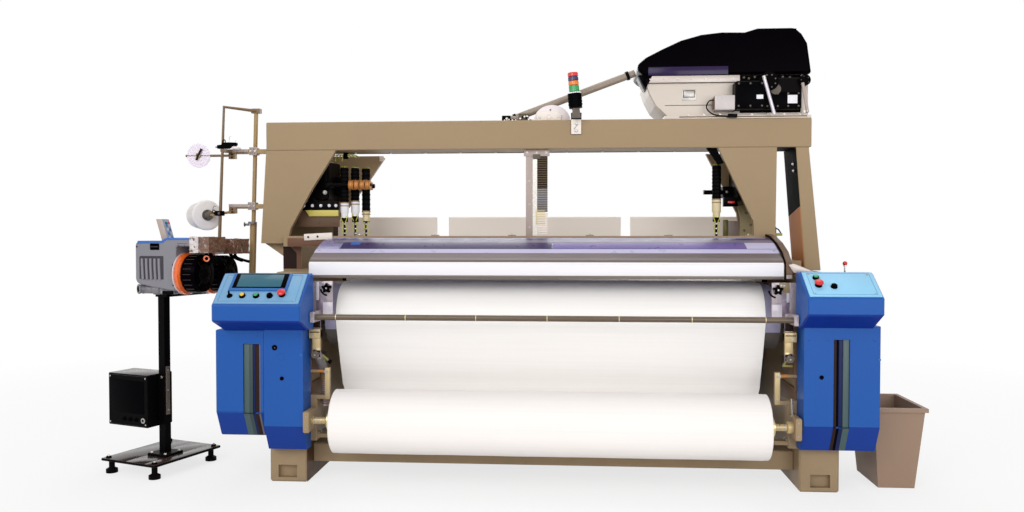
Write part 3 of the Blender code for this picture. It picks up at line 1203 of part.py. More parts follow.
def centre(machine):
    """Shifts the machine so that the origin is at the bottom centre of its box."""
    bpy.context.view_layer.update()
    graph = bpy.context.evaluated_depsgraph_get()
    low = Vector((1e9, 1e9, 1e9))
    high = -low
    for thing in bpy.data.objects:
        if thing.type != "MESH":
            continue
        for vertex in thing.evaluated_get(graph).data.vertices:
            spot = thing.matrix_world @ vertex.co
            low = Vector(map(min, low, spot))
            high = Vector(map(max, high, spot))
    machine.location = (-(low.x + high.x) / 2, -(low.y + high.y) / 2, -low.z)
    bpy.context.view_layer.update()


def main():
    clear_scene()
    machine = empty("machine", None)
    build_frames(machine)
    build_cross_beams(machine)
    build_left_column(machine)
    build_right_column(machine)
    build_guide_post(machine)
    build_lifter_gear(machine)
    build_covers(machine)
    build_control_panels(machine)
    build_hand_lever(machine)
    build_side_plates(machine)
    build_roll_bearings(machine)
    build_takeup(machine)
    build_cloth(machine)
    build_hood(machine)
    build_healds(machine)
    build_sley(machine)
    build_warp(machine)
    build_rear_guards(machine)
    build_drive(machine)
    build_dobby_case(machine)
    build_dobby_drive(machine)
    build_gantry_fittings(machine)
    build_feeders(machine)
    build_yarn_stand(machine)
    build_bin(machine)
    centre(machine)


main()
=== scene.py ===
from math import cos, pi, radians, sin

import bmesh
import bpy
from mathutils import Matrix, Vector, noise


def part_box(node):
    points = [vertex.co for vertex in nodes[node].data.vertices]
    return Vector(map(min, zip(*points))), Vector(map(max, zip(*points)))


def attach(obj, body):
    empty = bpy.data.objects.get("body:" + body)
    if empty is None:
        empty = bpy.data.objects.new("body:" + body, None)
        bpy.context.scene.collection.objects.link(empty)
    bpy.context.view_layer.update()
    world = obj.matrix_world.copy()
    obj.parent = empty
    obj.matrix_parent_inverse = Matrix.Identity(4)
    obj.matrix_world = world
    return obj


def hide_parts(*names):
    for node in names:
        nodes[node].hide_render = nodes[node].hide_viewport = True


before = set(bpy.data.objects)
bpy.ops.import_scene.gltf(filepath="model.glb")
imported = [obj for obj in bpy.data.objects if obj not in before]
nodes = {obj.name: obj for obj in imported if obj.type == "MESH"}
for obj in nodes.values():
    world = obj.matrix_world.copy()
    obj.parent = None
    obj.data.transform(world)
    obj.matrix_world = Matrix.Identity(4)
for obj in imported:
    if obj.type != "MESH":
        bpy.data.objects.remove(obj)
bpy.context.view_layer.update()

leftFrame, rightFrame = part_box("frame_left"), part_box("frame_right")
shift = Vector(((leftFrame[0].x + rightFrame[1].x) / 2, leftFrame[0].y, 0))
# Places below are counted from the middle of the loom: x to the right, y from the front faces
# of the side frames to the back, z up from the floor.
toFront, toLeft, toRight, upward = (0, -1, 0), (-1, 0, 0), (1, 0, 0), (0, 0, 1)


def rgb(red, green, blue):
    # Screen colour to the linear colour that sockets take.
    linear = [((c / 255 + 0.055) / 1.055) ** 2.4 if c > 10 else c / 3295 for c in (red, green, blue)]
    return (*linear, 1.0)


def setInputs(tree, node, inputs):
    # An input takes a value or another node's socket.
    for key, value in inputs.items():
        if isinstance(value, bpy.types.NodeSocket):
            tree.links.new(value, node.inputs[key])
        else:
            node.inputs[key].default_value = value


def addNode(tree, kind, inputs=None, **settings):
    node = tree.nodes.new("ShaderNode" + kind)
    for key, value in settings.items():
        setattr(node, key, value)
    setInputs(tree, node, inputs or {})
    return node


def place(tree):
    return addNode(tree, "TexCoord").outputs["Object"]


def mathOf(tree, operation, first, second=0.5, clamp=False):
    return addNode(tree, "Math", {0: first, 1: second}, operation=operation, use_clamp=clamp).outputs[0]


def ranged(tree, value, low, high, toLow=0.0, toHigh=1.0):
    inputs = {"Value": value, "From Min": low, "From Max": high, "To Min": toLow, "To Max": toHigh}
    return addNode(tree, "MapRange", inputs).outputs[0]


def facing(tree, low, high):
    # How far the surface looks up, as a share between two heights of its normal.
    normal = addNode(tree, "NewGeometry").outputs["Normal"]
    return ranged(tree, addNode(tree, "SeparateXYZ", {0: normal}).outputs["Z"], low, high)


def noiseOf(tree, spot, scale, detail, **more):
    return addNode(tree, "TexNoise",
                   {"Vector": spot, "Scale": scale, "Detail": detail, **more}).outputs["Fac"]


# Camera, lamps and floor.

view = {"place": (0.11, -4.0, 1.18), "tilt": 88.6, "turn": 4.0, "lens": 30.23, "ambient": 0.42,
        "floor": 40}


def makeCamera():
    camera = bpy.data.objects.new("camera", bpy.data.cameras.new("camera"))
    camera.data.lens = view["lens"]
    camera.data.sensor_width = 36
    camera.location = Vector(view["place"]) + shift
    camera.rotation_euler = (radians(view["tilt"]), 0, radians(view["turn"]))
    bpy.context.scene.collection.objects.link(camera)
    bpy.context.scene.camera = camera


lamps = {
    "key": {"place": (-2.4, -4.8, 3.4), "aim": (0, 0.2, 0.8), "size": (4.5, 3.0), "power": 142},
    "fill": {"place": (2.6, -4.9, 1.9), "aim": (0.2, 0.2, 0.8), "size": (4.0, 2.4), "power": 100},
    "top": {"place": (0.2, 1.2, 4.6), "aim": (0, 0.4, 1.0), "size": (5.0, 3.0), "power": 76},
    "back": {"place": (0.0, 5.2, 3.2), "aim": (0, 0.8, 1.0), "size": (5.0, 3.0), "power": 66},
}


def makeLamps():
    for name, lamp in lamps.items():
        light = bpy.data.lights.new(name, "AREA")
        light.shape = "RECTANGLE"
        light.size, light.size_y = lamp["size"]
        light.energy = lamp["power"]
        holder = bpy.data.objects.new(name, light)
        holder.location = Vector(lamp["place"]) + shift
        aim = Vector(lamp["aim"]) + shift - holder.location
        holder.rotation_euler = aim.to_track_quat("-Z", "Y").to_euler()
        bpy.context.scene.collection.objects.link(holder)


def seenDirectly(tree):
    # 1 for rays from the camera, from gloss and through glass, so that all three meet white.
    path = addNode(tree, "LightPath").outputs
    total = path["Is Camera Ray"]
    for name in ("Is Glossy Ray", "Is Transmission Ray"):
        total = mathOf(tree, "ADD", total, path[name], True)
    return total


def makeWorld():
    world = bpy.data.worlds.new("studio")
    world.use_nodes = True
    bpy.context.scene.world = world
    tree = world.node_tree
    tree.nodes.clear()
    plain = addNode(tree, "Background", {"Color": (1, 1, 1, 1), "Strength": view["ambient"]}).outputs[0]
    white = addNode(tree, "Background", {"Color": (1, 1, 1, 1)}).outputs[0]
    mix = addNode(tree, "MixShader", {0: seenDirectly(tree), 1: plain, 2: white})
    addNode(tree, "OutputWorld", {0: mix.outputs[0]})


def makeFloor():
    reach = view["floor"]
    corners = [(x * reach, y * reach, -0.001) for x, y in ((-1, -1), (1, -1), (1, 1), (-1, 1))]
    mesh = bpy.data.meshes.new("floor")
    mesh.from_pydata(corners, [], [(0, 1, 2, 3)])
    floor = bpy.data.objects.new("floor", mesh)
    bpy.context.scene.collection.objects.link(floor)
    material = bpy.data.materials.new("paleFloor")
    material.use_nodes = True
    tree = material.node_tree
    tree.nodes.clear()
    matt = addNode(tree, "BsdfDiffuse", {"Color": (0.9, 0.9, 0.9, 1)}).outputs[0]
    white = addNode(tree, "Emission").outputs[0]
    # The white share grows with the distance from the loom, so that no horizon shows.
    reached = addNode(tree, "VectorMath", {0: place(tree)}, operation="LENGTH").outputs["Value"]
    share = mathOf(tree, "MULTIPLY", seenDirectly(tree), ranged(tree, reached, 1.6, 5.5, 0.74, 1.0))
    mix = addNode(tree, "MixShader", {0: share, 1: matt, 2: white})
    addNode(tree, "OutputMaterial", {0: mix.outputs[0]})
    mesh.materials.append(material)


makeCamera()
makeLamps()
makeWorld()
makeFloor()
bpy.context.scene.view_settings.view_transform = "Standard"
print("camera, lamps and floor are set")

# Shader node groups, each one effect that many finishes share.


def newGroup(name, inputs, outputs):
    tree = bpy.data.node_groups.new(name, "ShaderNodeTree")
    for label, kind, value in inputs:
        socket = tree.interface.new_socket(label, in_out="INPUT", socket_type="NodeSocket" + kind)
        socket.default_value = value
    for label, kind in outputs:
        tree.interface.new_socket(label, in_out="OUTPUT", socket_type="NodeSocket" + kind)
    return tree, tree.nodes.new("NodeGroupInput").outputs, tree.nodes.new("NodeGroupOutput").inputs


def driftGroup():
    # Slow changes of lightness over a surface, as in paint that was sprayed by hand.
    tree, given, result = newGroup("colourDrift", [("Colour", "Color", (1, 1, 1, 1)), ("Scale", "Float", 3.0),
                                                   ("Amount", "Float", 0.1)], [("Colour", "Color")])
    centred = mathOf(tree, "SUBTRACT", noiseOf(tree, place(tree), given["Scale"], 3.0), 0.5)
    swing = mathOf(tree, "MULTIPLY_ADD", centred, given["Amount"])
    swing.node.inputs[2].default_value = 1.0
    shade = addNode(tree, "HueSaturation", {"Color": given["Colour"], "Value": swing})
    tree.links.new(shade.outputs[0], result["Colour"])
    return tree


def wearGroup():
    # A mask of rubbed edges: where the rounded normal leaves the true one, in patches.
    tree, given, result = newGroup("edgeWear", [("Width", "Float", 0.004), ("Amount", "Float", 0.5)],
                                   [("Mask", "Float")])
    bevel = addNode(tree, "Bevel", {"Radius": given["Width"]}, samples=3).outputs[0]
    true = addNode(tree, "NewGeometry").outputs["Normal"]
    dot = addNode(tree, "VectorMath", {0: bevel, 1: true}, operation="DOT_PRODUCT").outputs["Value"]
    patch = ranged(tree, noiseOf(tree, place(tree), 35.0, 4.0), 0.42, 0.62)
    rubbed = mathOf(tree, "MULTIPLY", ranged(tree, dot, 0.995, 0.85), patch)
    tree.links.new(mathOf(tree, "MULTIPLY", rubbed, given["Amount"], True), result["Mask"])
    return tree


def dustGroup():
    # Lint and dust that settle on upward faces, and grime low on the machine.
    tree, given, result = newGroup("settledDust", [("Amount", "Float", 0.3), ("Low Grime", "Float", 0.3)],
                                   [("Mask", "Float")])
    spot = place(tree)
    low = ranged(tree, addNode(tree, "SeparateXYZ", {0: spot}).outputs["Z"], 0.45, 0.0)
    cloud = ranged(tree, noiseOf(tree, spot, 9.0, 6.0, Roughness=0.65), 0.35, 0.75)
    dust = mathOf(tree, "MULTIPLY", facing(tree, 0.6, 1.0), given["Amount"])
    grime = mathOf(tree, "MULTIPLY", low, given["Low Grime"])
    both = mathOf(tree, "MULTIPLY", mathOf(tree, "ADD", dust, grime), cloud, True)
    tree.links.new(both, result["Mask"])
    return tree


def glossChange(tree, lines, amount, given, result):
    # Gloss that follows the same lines or clouds by a small amount.
    change = mathOf(tree, "MULTIPLY", mathOf(tree, "SUBTRACT", lines, 0.5), amount)
    tree.links.new(mathOf(tree, "ADD", change, given["Gloss"], True), result["Roughness"])


def grainGroup():
    # Fine orange peel of paint or moulded plastic: a height and a matching change of gloss.
    tree, given, result = newGroup("surfaceGrain", [("Scale", "Float", 400.0), ("Gloss Change", "Float", 0.1),
                                                    ("Gloss", "Float", 0.4)],
                                   [("Height", "Float"), ("Roughness", "Float")])
    spot = place(tree)
    tree.links.new(noiseOf(tree, spot, given["Scale"], 2.0), result["Height"])
    glossChange(tree, noiseOf(tree, spot, 14.0, 5.0), given["Gloss Change"], given, result)
    return tree


def stretched(tree, spot, stretch):
    return addNode(tree, "VectorMath", {0: spot, 1: stretch}, operation="MULTIPLY").outputs[0]


def brushedGroup():
    # Fine lines left by brushing, turning or drawing, along the axis whose stretch is small.
    tree, given, result = newGroup("brushedLines", [("Stretch", "Vector", (1, 60, 60)),
                                                    ("Gloss", "Float", 0.3)],
                                   [("Height", "Float"), ("Roughness", "Float")])
    lines = noiseOf(tree, stretched(tree, place(tree), given["Stretch"]), 12.0, 3.0)
    tree.links.new(lines, result["Height"])
    glossChange(tree, lines, 0.35, given, result)
    return tree


def weaveGroup():
    # Plain weave: warp and weft threads cross as two waves, with slubs in the weft.
    tree, given, result = newGroup("plainWeave", [("Threads", "Float", 900.0)],
                                   [("Height", "Float"), ("Shade", "Float")])
    spot = place(tree)
    parts = addNode(tree, "SeparateXYZ", {0: spot}).outputs
    around = mathOf(tree, "ADD", parts["Y"], parts["Z"])
    warp = mathOf(tree, "SINE", mathOf(tree, "MULTIPLY", parts["X"], given["Threads"]))
    weft = mathOf(tree, "SINE", mathOf(tree, "MULTIPLY", around, given["Threads"]))
    tree.links.new(mathOf(tree, "MULTIPLY", warp, weft), result["Height"])
    slub = noiseOf(tree, stretched(tree, spot, (1.5, 90.0, 90.0)), 1.0, 3.0)
    tree.links.new(ranged(tree, slub, 0.3, 0.8), result["Shade"])
    return tree


groups = {"drift": driftGroup(), "wear": wearGroup(), "dust": dustGroup(), "grain": grainGroup(),
          "brushed": brushedGroup(), "weave": weaveGroup()}


def useGroup(tree, name, inputs):
    return addNode(tree, "Group", inputs, node_tree=groups[name]).outputs


# Finishes: colour on screen, gloss, and how much grain, wear and dust each shows.


def coat(colour, rough, **facts):
    return {"colour": colour, "rough": rough, **facts}


finishes = {
    "tanPaint": coat((160, 137, 106), 0.46, spec=0.18, wear=0.35, dust=0.3, grime=0.35),
    "brownPaint": coat((104, 80, 62), 0.45, spec=0.25, drift=0.12, wear=0.3, dust=0.3),
    # The blue's under colour is painted shade, laid on faces that look down.
    "bluePaint": coat((36, 88, 164), 0.38, spec=0.16, under=(8, 42, 134), drift=0.08, wear=0.25, dust=0.1),
    "panelBlue": coat((116, 162, 198), 0.38, spec=0.3, drift=0.05, dust=0.05),
    "panelPale": coat((144, 202, 234), 0.38, spec=0.3, drift=0.05, dust=0.05),
    "blackPlastic": coat((4, 3, 5), 0.36, spec=0.015, grain=700, drift=0.2, wear=0.1),
    "blackSteel": coat((8, 6, 7), 0.4, spec=0.03, drift=0.25, wear=0.18, dust=0.06),
    "glossBlack": coat((3, 1, 4), 0.2, spec=0.012, drift=0.3, grain=120, bump=0.02),
    "brightSteel": coat((196, 192, 186), 0.28, metal=1.0, brushed=(1, 60, 60)),
    "filmPlate": coat((178, 166, 170), 0.26, metal=0.3, drift=0.5, patch=16, grain=45, bump=0.6, depth=0.004),
    "aluminium": coat((130, 122, 126), 0.34, metal=0.7, brushed=(0.6, 80, 80)),
    "castGrey": coat((128, 126, 130), 0.5, metal=0.4, drift=0.2, grain=260, bump=0.4),
    "silverPaint": coat((192, 181, 170), 0.38, metal=0.2, wear=0.2),
    "paleBeige": coat((238, 228, 219), 0.5, drift=0.05, wear=0.2, dust=0.2),
    "motorGrey": coat((112, 116, 120), 0.48, drift=0.12, wear=0.25, grain=200),
    "creamTube": coat((162, 132, 86), 0.42, drift=0.15, wear=0.2),
    "feederGrey": coat((128, 126, 133), 0.5, grain=900, bump=0.3, drift=0.08, wear=0.1),
    "orange": coat((236, 104, 34), 0.3, coat=0.3, grain=300),
    "discWhite": coat((232, 222, 234), 0.25, drift=0.05, grain=300),
    "binPlastic": coat((152, 125, 104), 0.55, grain=500, bump=0.3, drift=0.08, dust=0.2),
    "emery": coat((86, 80, 76), 0.85, grain=1500, bump=0.8, drift=0.2),
    "redPlastic": coat((206, 22, 20), 0.3, coat=0.3, drift=0.08, grain=500),
    "boltZinc": coat((176, 172, 166), 0.3, metal=0.9, drift=0.2, grain=500),
    "bezelBlue": coat((30, 96, 164), 0.4, drift=0.06, grain=600),
    "panelLine": coat((70, 116, 170), 0.5, drift=0.05),
    "screenGlass": coat((40, 94, 112), 0.2, spec=0.3, coat=0.15, grain=40, bump=0.02),
    "yellowCap": coat((226, 186, 20), 0.25, coat=0.4, drift=0.05),
    "greenCap": coat((20, 150, 84), 0.25, coat=0.4, drift=0.05),
    "greenGrey": coat((58, 80, 80), 0.45, drift=0.15, wear=0.1),
    "darkGreen": coat((36, 56, 58), 0.45, drift=0.15),
    "darkBlue": coat((10, 26, 74), 0.45, spec=0.2),
    "darkBrown": coat((40, 22, 17), 0.55, spec=0.15, drift=0.2, dust=0.1),
    "greyStrip": coat((104, 92, 84), 0.4, drift=0.15),
    "rubber": coat((5, 4, 5), 0.6, spec=0.02, drift=0.15, grain=900, bump=0.3),
    "whitePaint": coat((234, 232, 236), 0.45, drift=0.03, dust=0.06),
    "goldenTan": coat((196, 172, 124), 0.36, metal=0.2, drift=0.12, wear=0.2),
    "brass": coat((206, 190, 146), 0.3, metal=0.8, drift=0.15, grain=300),
    "olive": coat((120, 112, 50), 0.4, drift=0.2, wear=0.3),
    "rustOrange": coat((188, 124, 60), 0.5, metal=0.2, drift=0.3, dust=0.2),
    "hoseGrey": coat((118, 112, 112), 0.55, drift=0.2, grain=700),
    "purpleBand": coat((58, 48, 92), 0.3, spec=0.3, drift=0.15),
    "lilacFilmAndBandHighlight": coat((196, 192, 222), 0.3, drift=0.08),
    "violetBand": coat((110, 94, 158), 0.3, spec=0.3, drift=0.15),
    "darkViolet": coat((70, 62, 92), 0.35, spec=0.3, drift=0.15),
    # These two darker copies of the aluminium are painted shade on the hood's band.
    "bandShadedAluminium": coat((132, 124, 126), 0.4, metal=0.5, brushed=(0.6, 80, 80)),
    "bandShade": coat((104, 92, 86), 0.45, metal=0.2, brushed=(0.6, 80, 80)),
    "filmPale": coat((216, 208, 216), 0.22, spec=0.6, drift=0.4, patch=22, grain=40, bump=0.8, depth=0.005),
    "filmDark": coat((128, 112, 128), 0.28, metal=0.2, drift=0.6, patch=22, grain=40, bump=0.8, depth=0.005),
    # Painted shade where it lies on the frames' inner faces.
    "castDark": coat((108, 82, 60), 0.5, spec=0.25, drift=0.25, wear=0.3, dust=0.3),
    "greyPlastic": coat((96, 86, 76), 0.4, spec=0.3, drift=0.15, grain=600),
    "hoseBrown": coat((128, 96, 62), 0.55, drift=0.2, grain=700),
    "orangeBrown": coat((214, 142, 80), 0.5, spec=0.25, drift=0.15, wear=0.2),
    "clipGreen": coat((150, 150, 60), 0.4, drift=0.2, grain=500),
    "cream": coat((220, 204, 160), 0.42, drift=0.12, wear=0.15),
    "railGold": coat((96, 82, 66), 0.3, metal=0.3, brushed=(1, 60, 60)),
    "steelWire": coat((206, 204, 202), 0.3, metal=0.9, grain=300),
    "softWhite": coat((236, 226, 226), 0.5, drift=0.04, grain=700),
    "paintedPurpleSheen": coat((36, 18, 62), 0.2, spec=0.2, coat=0.05, drift=0.4, grain=60, bump=0.02),
    "wrapBrown": coat((112, 76, 58), 0.16, spec=0.8, drift=1.1, patch=34, grain=40, bump=1.0, depth=0.012),
    "flangeSilver": coat((196, 184, 176), 0.36, metal=0.2, drift=0.12, wear=0.15),
    "leverPale": coat((206, 200, 208), 0.28, metal=0.4, drift=0.08),
    "oliveDark": coat((84, 74, 48), 0.45, spec=0.25, drift=0.2),
    "greyLilac": coat((122, 114, 138), 0.35, spec=0.3),
    "limeTape": coat((206, 190, 92), 0.42, drift=0.12, wear=0.15),
    "rollerFilm": coat((150, 146, 172), 0.3, spec=0.4, drift=0.4, patch=18, grain=30, bump=0.6, depth=0.003),
    "wrapPale": coat((206, 198, 196), 0.16, spec=0.7, drift=0.7, patch=40, grain=45, bump=0.9, depth=0.008),
    "keypadBlue": coat((134, 148, 172), 0.4, drift=0.08, grain=600),
    "brownRed": coat((116, 82, 64), 0.45, spec=0.2, drift=0.12, wear=0.2, dust=0.2),
    "oliveBrown": coat((78, 54, 32), 0.5, spec=0.15, drift=0.2, dust=0.15),
    "bandBlue": coat((52, 102, 178), 0.35, grain=500),
    "grooveDark": coat((62, 60, 66), 0.6, spec=0.2, drift=0.2),
    "pinkGrey": coat((176, 160, 152), 0.45, drift=0.08, wear=0.1),
    "tubeGrey": coat((144, 130, 117), 0.42, metal=0.15, drift=0.12, wear=0.2),
    "rodBrown": coat((112, 86, 54), 0.42, drift=0.15, wear=0.2),
    "motorPale": coat((194, 186, 184), 0.45, metal=0.2, drift=0.12, wear=0.15),
    "darkPlate": coat((60, 46, 42), 0.2, spec=0.45, drift=0.3, dust=0.12),
    "amber": coat((238, 128, 30), 0.25, coat=0.5, drift=0.08),
    "lampRed": coat((216, 40, 26), 0.25, coat=0.5, drift=0.08),
    "lampGreen": coat((36, 158, 84), 0.25, coat=0.5, drift=0.08),
    "lampBlue": coat((40, 34, 92), 0.25, coat=0.5, drift=0.08),
    "plateLabel": coat((176, 172, 166), 0.34, metal=0.5, drift=0.25, grain=120),
    "wireYellow": coat((208, 206, 72), 0.45, drift=0.15),
}
made = {}


def newMaterial(name):
    made[name] = bpy.data.materials.new(name)
    made[name].use_nodes = True
    return made[name].node_tree, made[name].node_tree.nodes["Principled BSDF"]


def layered(tree, mask, colour, over):
    # A second colour over the first where the mask shows it.
    return addNode(tree, "Mix", {"Factor": mask, 6: colour, 7: over}, data_type="RGBA").outputs[2]


def finish(name):
    # A painted, moulded or metal surface, built once from its line in the table.
    if name in made:
        return made[name]
    facts = finishes[name]
    tree, shader = newMaterial(name)
    colour = useGroup(tree, "drift", {"Colour": rgb(*facts["colour"]), "Scale": facts.get("patch", 3.5),
                                      "Amount": facts.get("drift", 0.1)})["Colour"]
    if facts.get("wear"):
        mask = useGroup(tree, "wear", {"Width": 0.004, "Amount": facts["wear"]})["Mask"]
        colour = layered(tree, mask, colour, rgb(*[min(255, c * 0.75 + 62) for c in facts["colour"]]))
    if facts.get("dust") or facts.get("grime"):
        mask = useGroup(tree, "dust", {"Amount": facts.get("dust", 0),
                                       "Low Grime": facts.get("grime", 0)})["Mask"]
        colour = layered(tree, mask, colour, rgb(120, 108, 94))
    if facts.get("under"):  # painted shade: faces that look down get the darker blue, as shade under the lips
        colour = layered(tree, facing(tree, 0.05, -0.6), colour, rgb(*facts["under"]))
    if "brushed" in facts:
        skin = useGroup(tree, "brushed", {"Stretch": facts["brushed"], "Gloss": facts["rough"]})
    else:
        skin = useGroup(tree, "grain", {"Scale": facts.get("grain", 420), "Gloss": facts["rough"],
                                        "Gloss Change": 0.18})
    bump = addNode(tree, "Bump", {"Height": skin["Height"], "Strength": facts.get("bump", 0.12),
                                  "Distance": facts.get("depth", 0.0006)})
    setInputs(tree, shader, {"Base Color": colour, "Metallic": facts.get("metal", 0.0),
                             "Coat Weight": facts.get("coat", 0.0),
                             "Specular IOR Level": facts.get("spec", 0.5),
                             "Roughness": skin["Roughness"], "Normal": bump.outputs[0]})
    return made[name]


def clothFinish(name, colour, threads):
    tree, shader = newMaterial(name)
    weave = useGroup(tree, "weave", {"Threads": threads})
    shade = layered(tree, weave["Shade"], rgb(*[c * 0.985 for c in colour]), rgb(*colour))
    bump = addNode(tree, "Bump", {"Height": weave["Height"], "Strength": 0.15, "Distance": 0.0003})
    setInputs(tree, shader, {"Base Color": shade, "Roughness": 0.85, "Sheen Weight": 0.15,
                             "Normal": bump.outputs[0]})


def glassFinish():
    # The hood's clear shell: violet film, streaked a little by cleaning.
    tree, shader = newMaterial("violetShell")
    colour = useGroup(tree, "drift", {"Colour": rgb(176, 170, 214), "Scale": 2.0, "Amount": 0.2})["Colour"]
    skin = useGroup(tree, "grain", {"Scale": 20.0, "Gloss": 0.12, "Gloss Change": 0.1})
    setInputs(tree, shader, {"Base Color": colour, "Alpha": 0.62, "Coat Weight": 0.8,
                             "Roughness": skin["Roughness"]})


clothFinish("wovenCloth", (252, 249, 246), 3200.0)
clothFinish("woundCloth", (247, 241, 237), 2600.0)
clothFinish("warpYarn", (244, 240, 232), 4200.0)
glassFinish()


nodeFinishes = {
    "tanPaint": ["frame_left", "frame_right", "front_cross_beam", "rear_cross_beam", "breast_beam",
                 "gantry_beam",
                 "column_left", "column_right", "outer_post_right", "roll_bearing_left", "roll_bearing_right",
                 "hood_hinge_bar", "guard_rail"],
    "bluePaint": ["cover_left", "cabinet_left", "cover_right"],
    "panelBlue": ["control_panel_left", "control_panel_right"],
    "redPlastic": ["hand_lever"],
    "brightSteel": ["sley_and_reed", "backrest_roller", "harness_guide_post"],
    "filmPlate": ["side_plate_left", "side_plate_right"],
    "wovenCloth": ["cloth_sheet"],
    "woundCloth": ["cloth_roll", "yarn_cone"],
    "warpYarn": ["warp_sheet"],
    "emery": ["takeup_roller"],
    "aluminium": ["hood_band"],
    "violetShell": ["hood_glass"],
    "brownPaint": ["hood_end_right"],
    "blackSteel": ["heald_frame_1", "heald_frame_2", "heald_frame_3", "lifter_gear_left", "lifter_gear_right",
                   "feeder_stand", "feeder_control_box", "dobby_gearbox"],
    "castGrey": ["warp_beam"],
    "paleBeige": ["rear_guard_1", "rear_guard_2", "rear_guard_3"],
    "motorGrey": ["drive_motor"],
    "silverPaint": ["dobby_housing"],
    "glossBlack": ["dobby_cover"],
    "creamTube": ["yarn_stand_pole"],
    "tubeGrey": ["drive_tube"],
    "rodBrown": ["yarn_guide_rod"],
    "softWhite": ["pulley_guard"],
    "railGold": ["front_rail"],
    "blackPlastic": ["signal_lamp"],
    "feederGrey": ["feeder_1_body", "feeder_2_body"],
    "orange": ["feeder_1_disc", "feeder_2_disc"],
    "discWhite": ["yarn_disc"],
    "binPlastic": ["waste_bin"],
}
for name, members in nodeFinishes.items():
    for node in members:
        nodes[node].data.materials.clear()
        nodes[node].data.materials.append(finish(name))
print("finishes are on the frame's nodes")


# Pieces. Each gathers shapes of several finishes in one object.


def around(steps, first=0.0):
    return [2 * pi * step / steps + first for step in range(steps)]


def bridge(part, rings):
    # Faces between rings of corners and over both ends; a ring in one point gives triangles.
    for lower, upper in zip(rings, rings[1:]):
        for step in range(len(lower)):
            after = (step + 1) % len(lower)
            ring = [lower[step], lower[after], upper[after], upper[step]]
            corners = [spot for number, spot in enumerate(ring) if spot not in ring[:number]]
            if len(corners) > 2:
                part.faces.new(corners)
    for ring in (rings[0], rings[-1]):
        if ring[0] != ring[1]:
            part.faces.new(ring)


def turnTo(along):
    return Vector(upward).rotation_difference(Vector(along)).to_matrix().to_4x4()


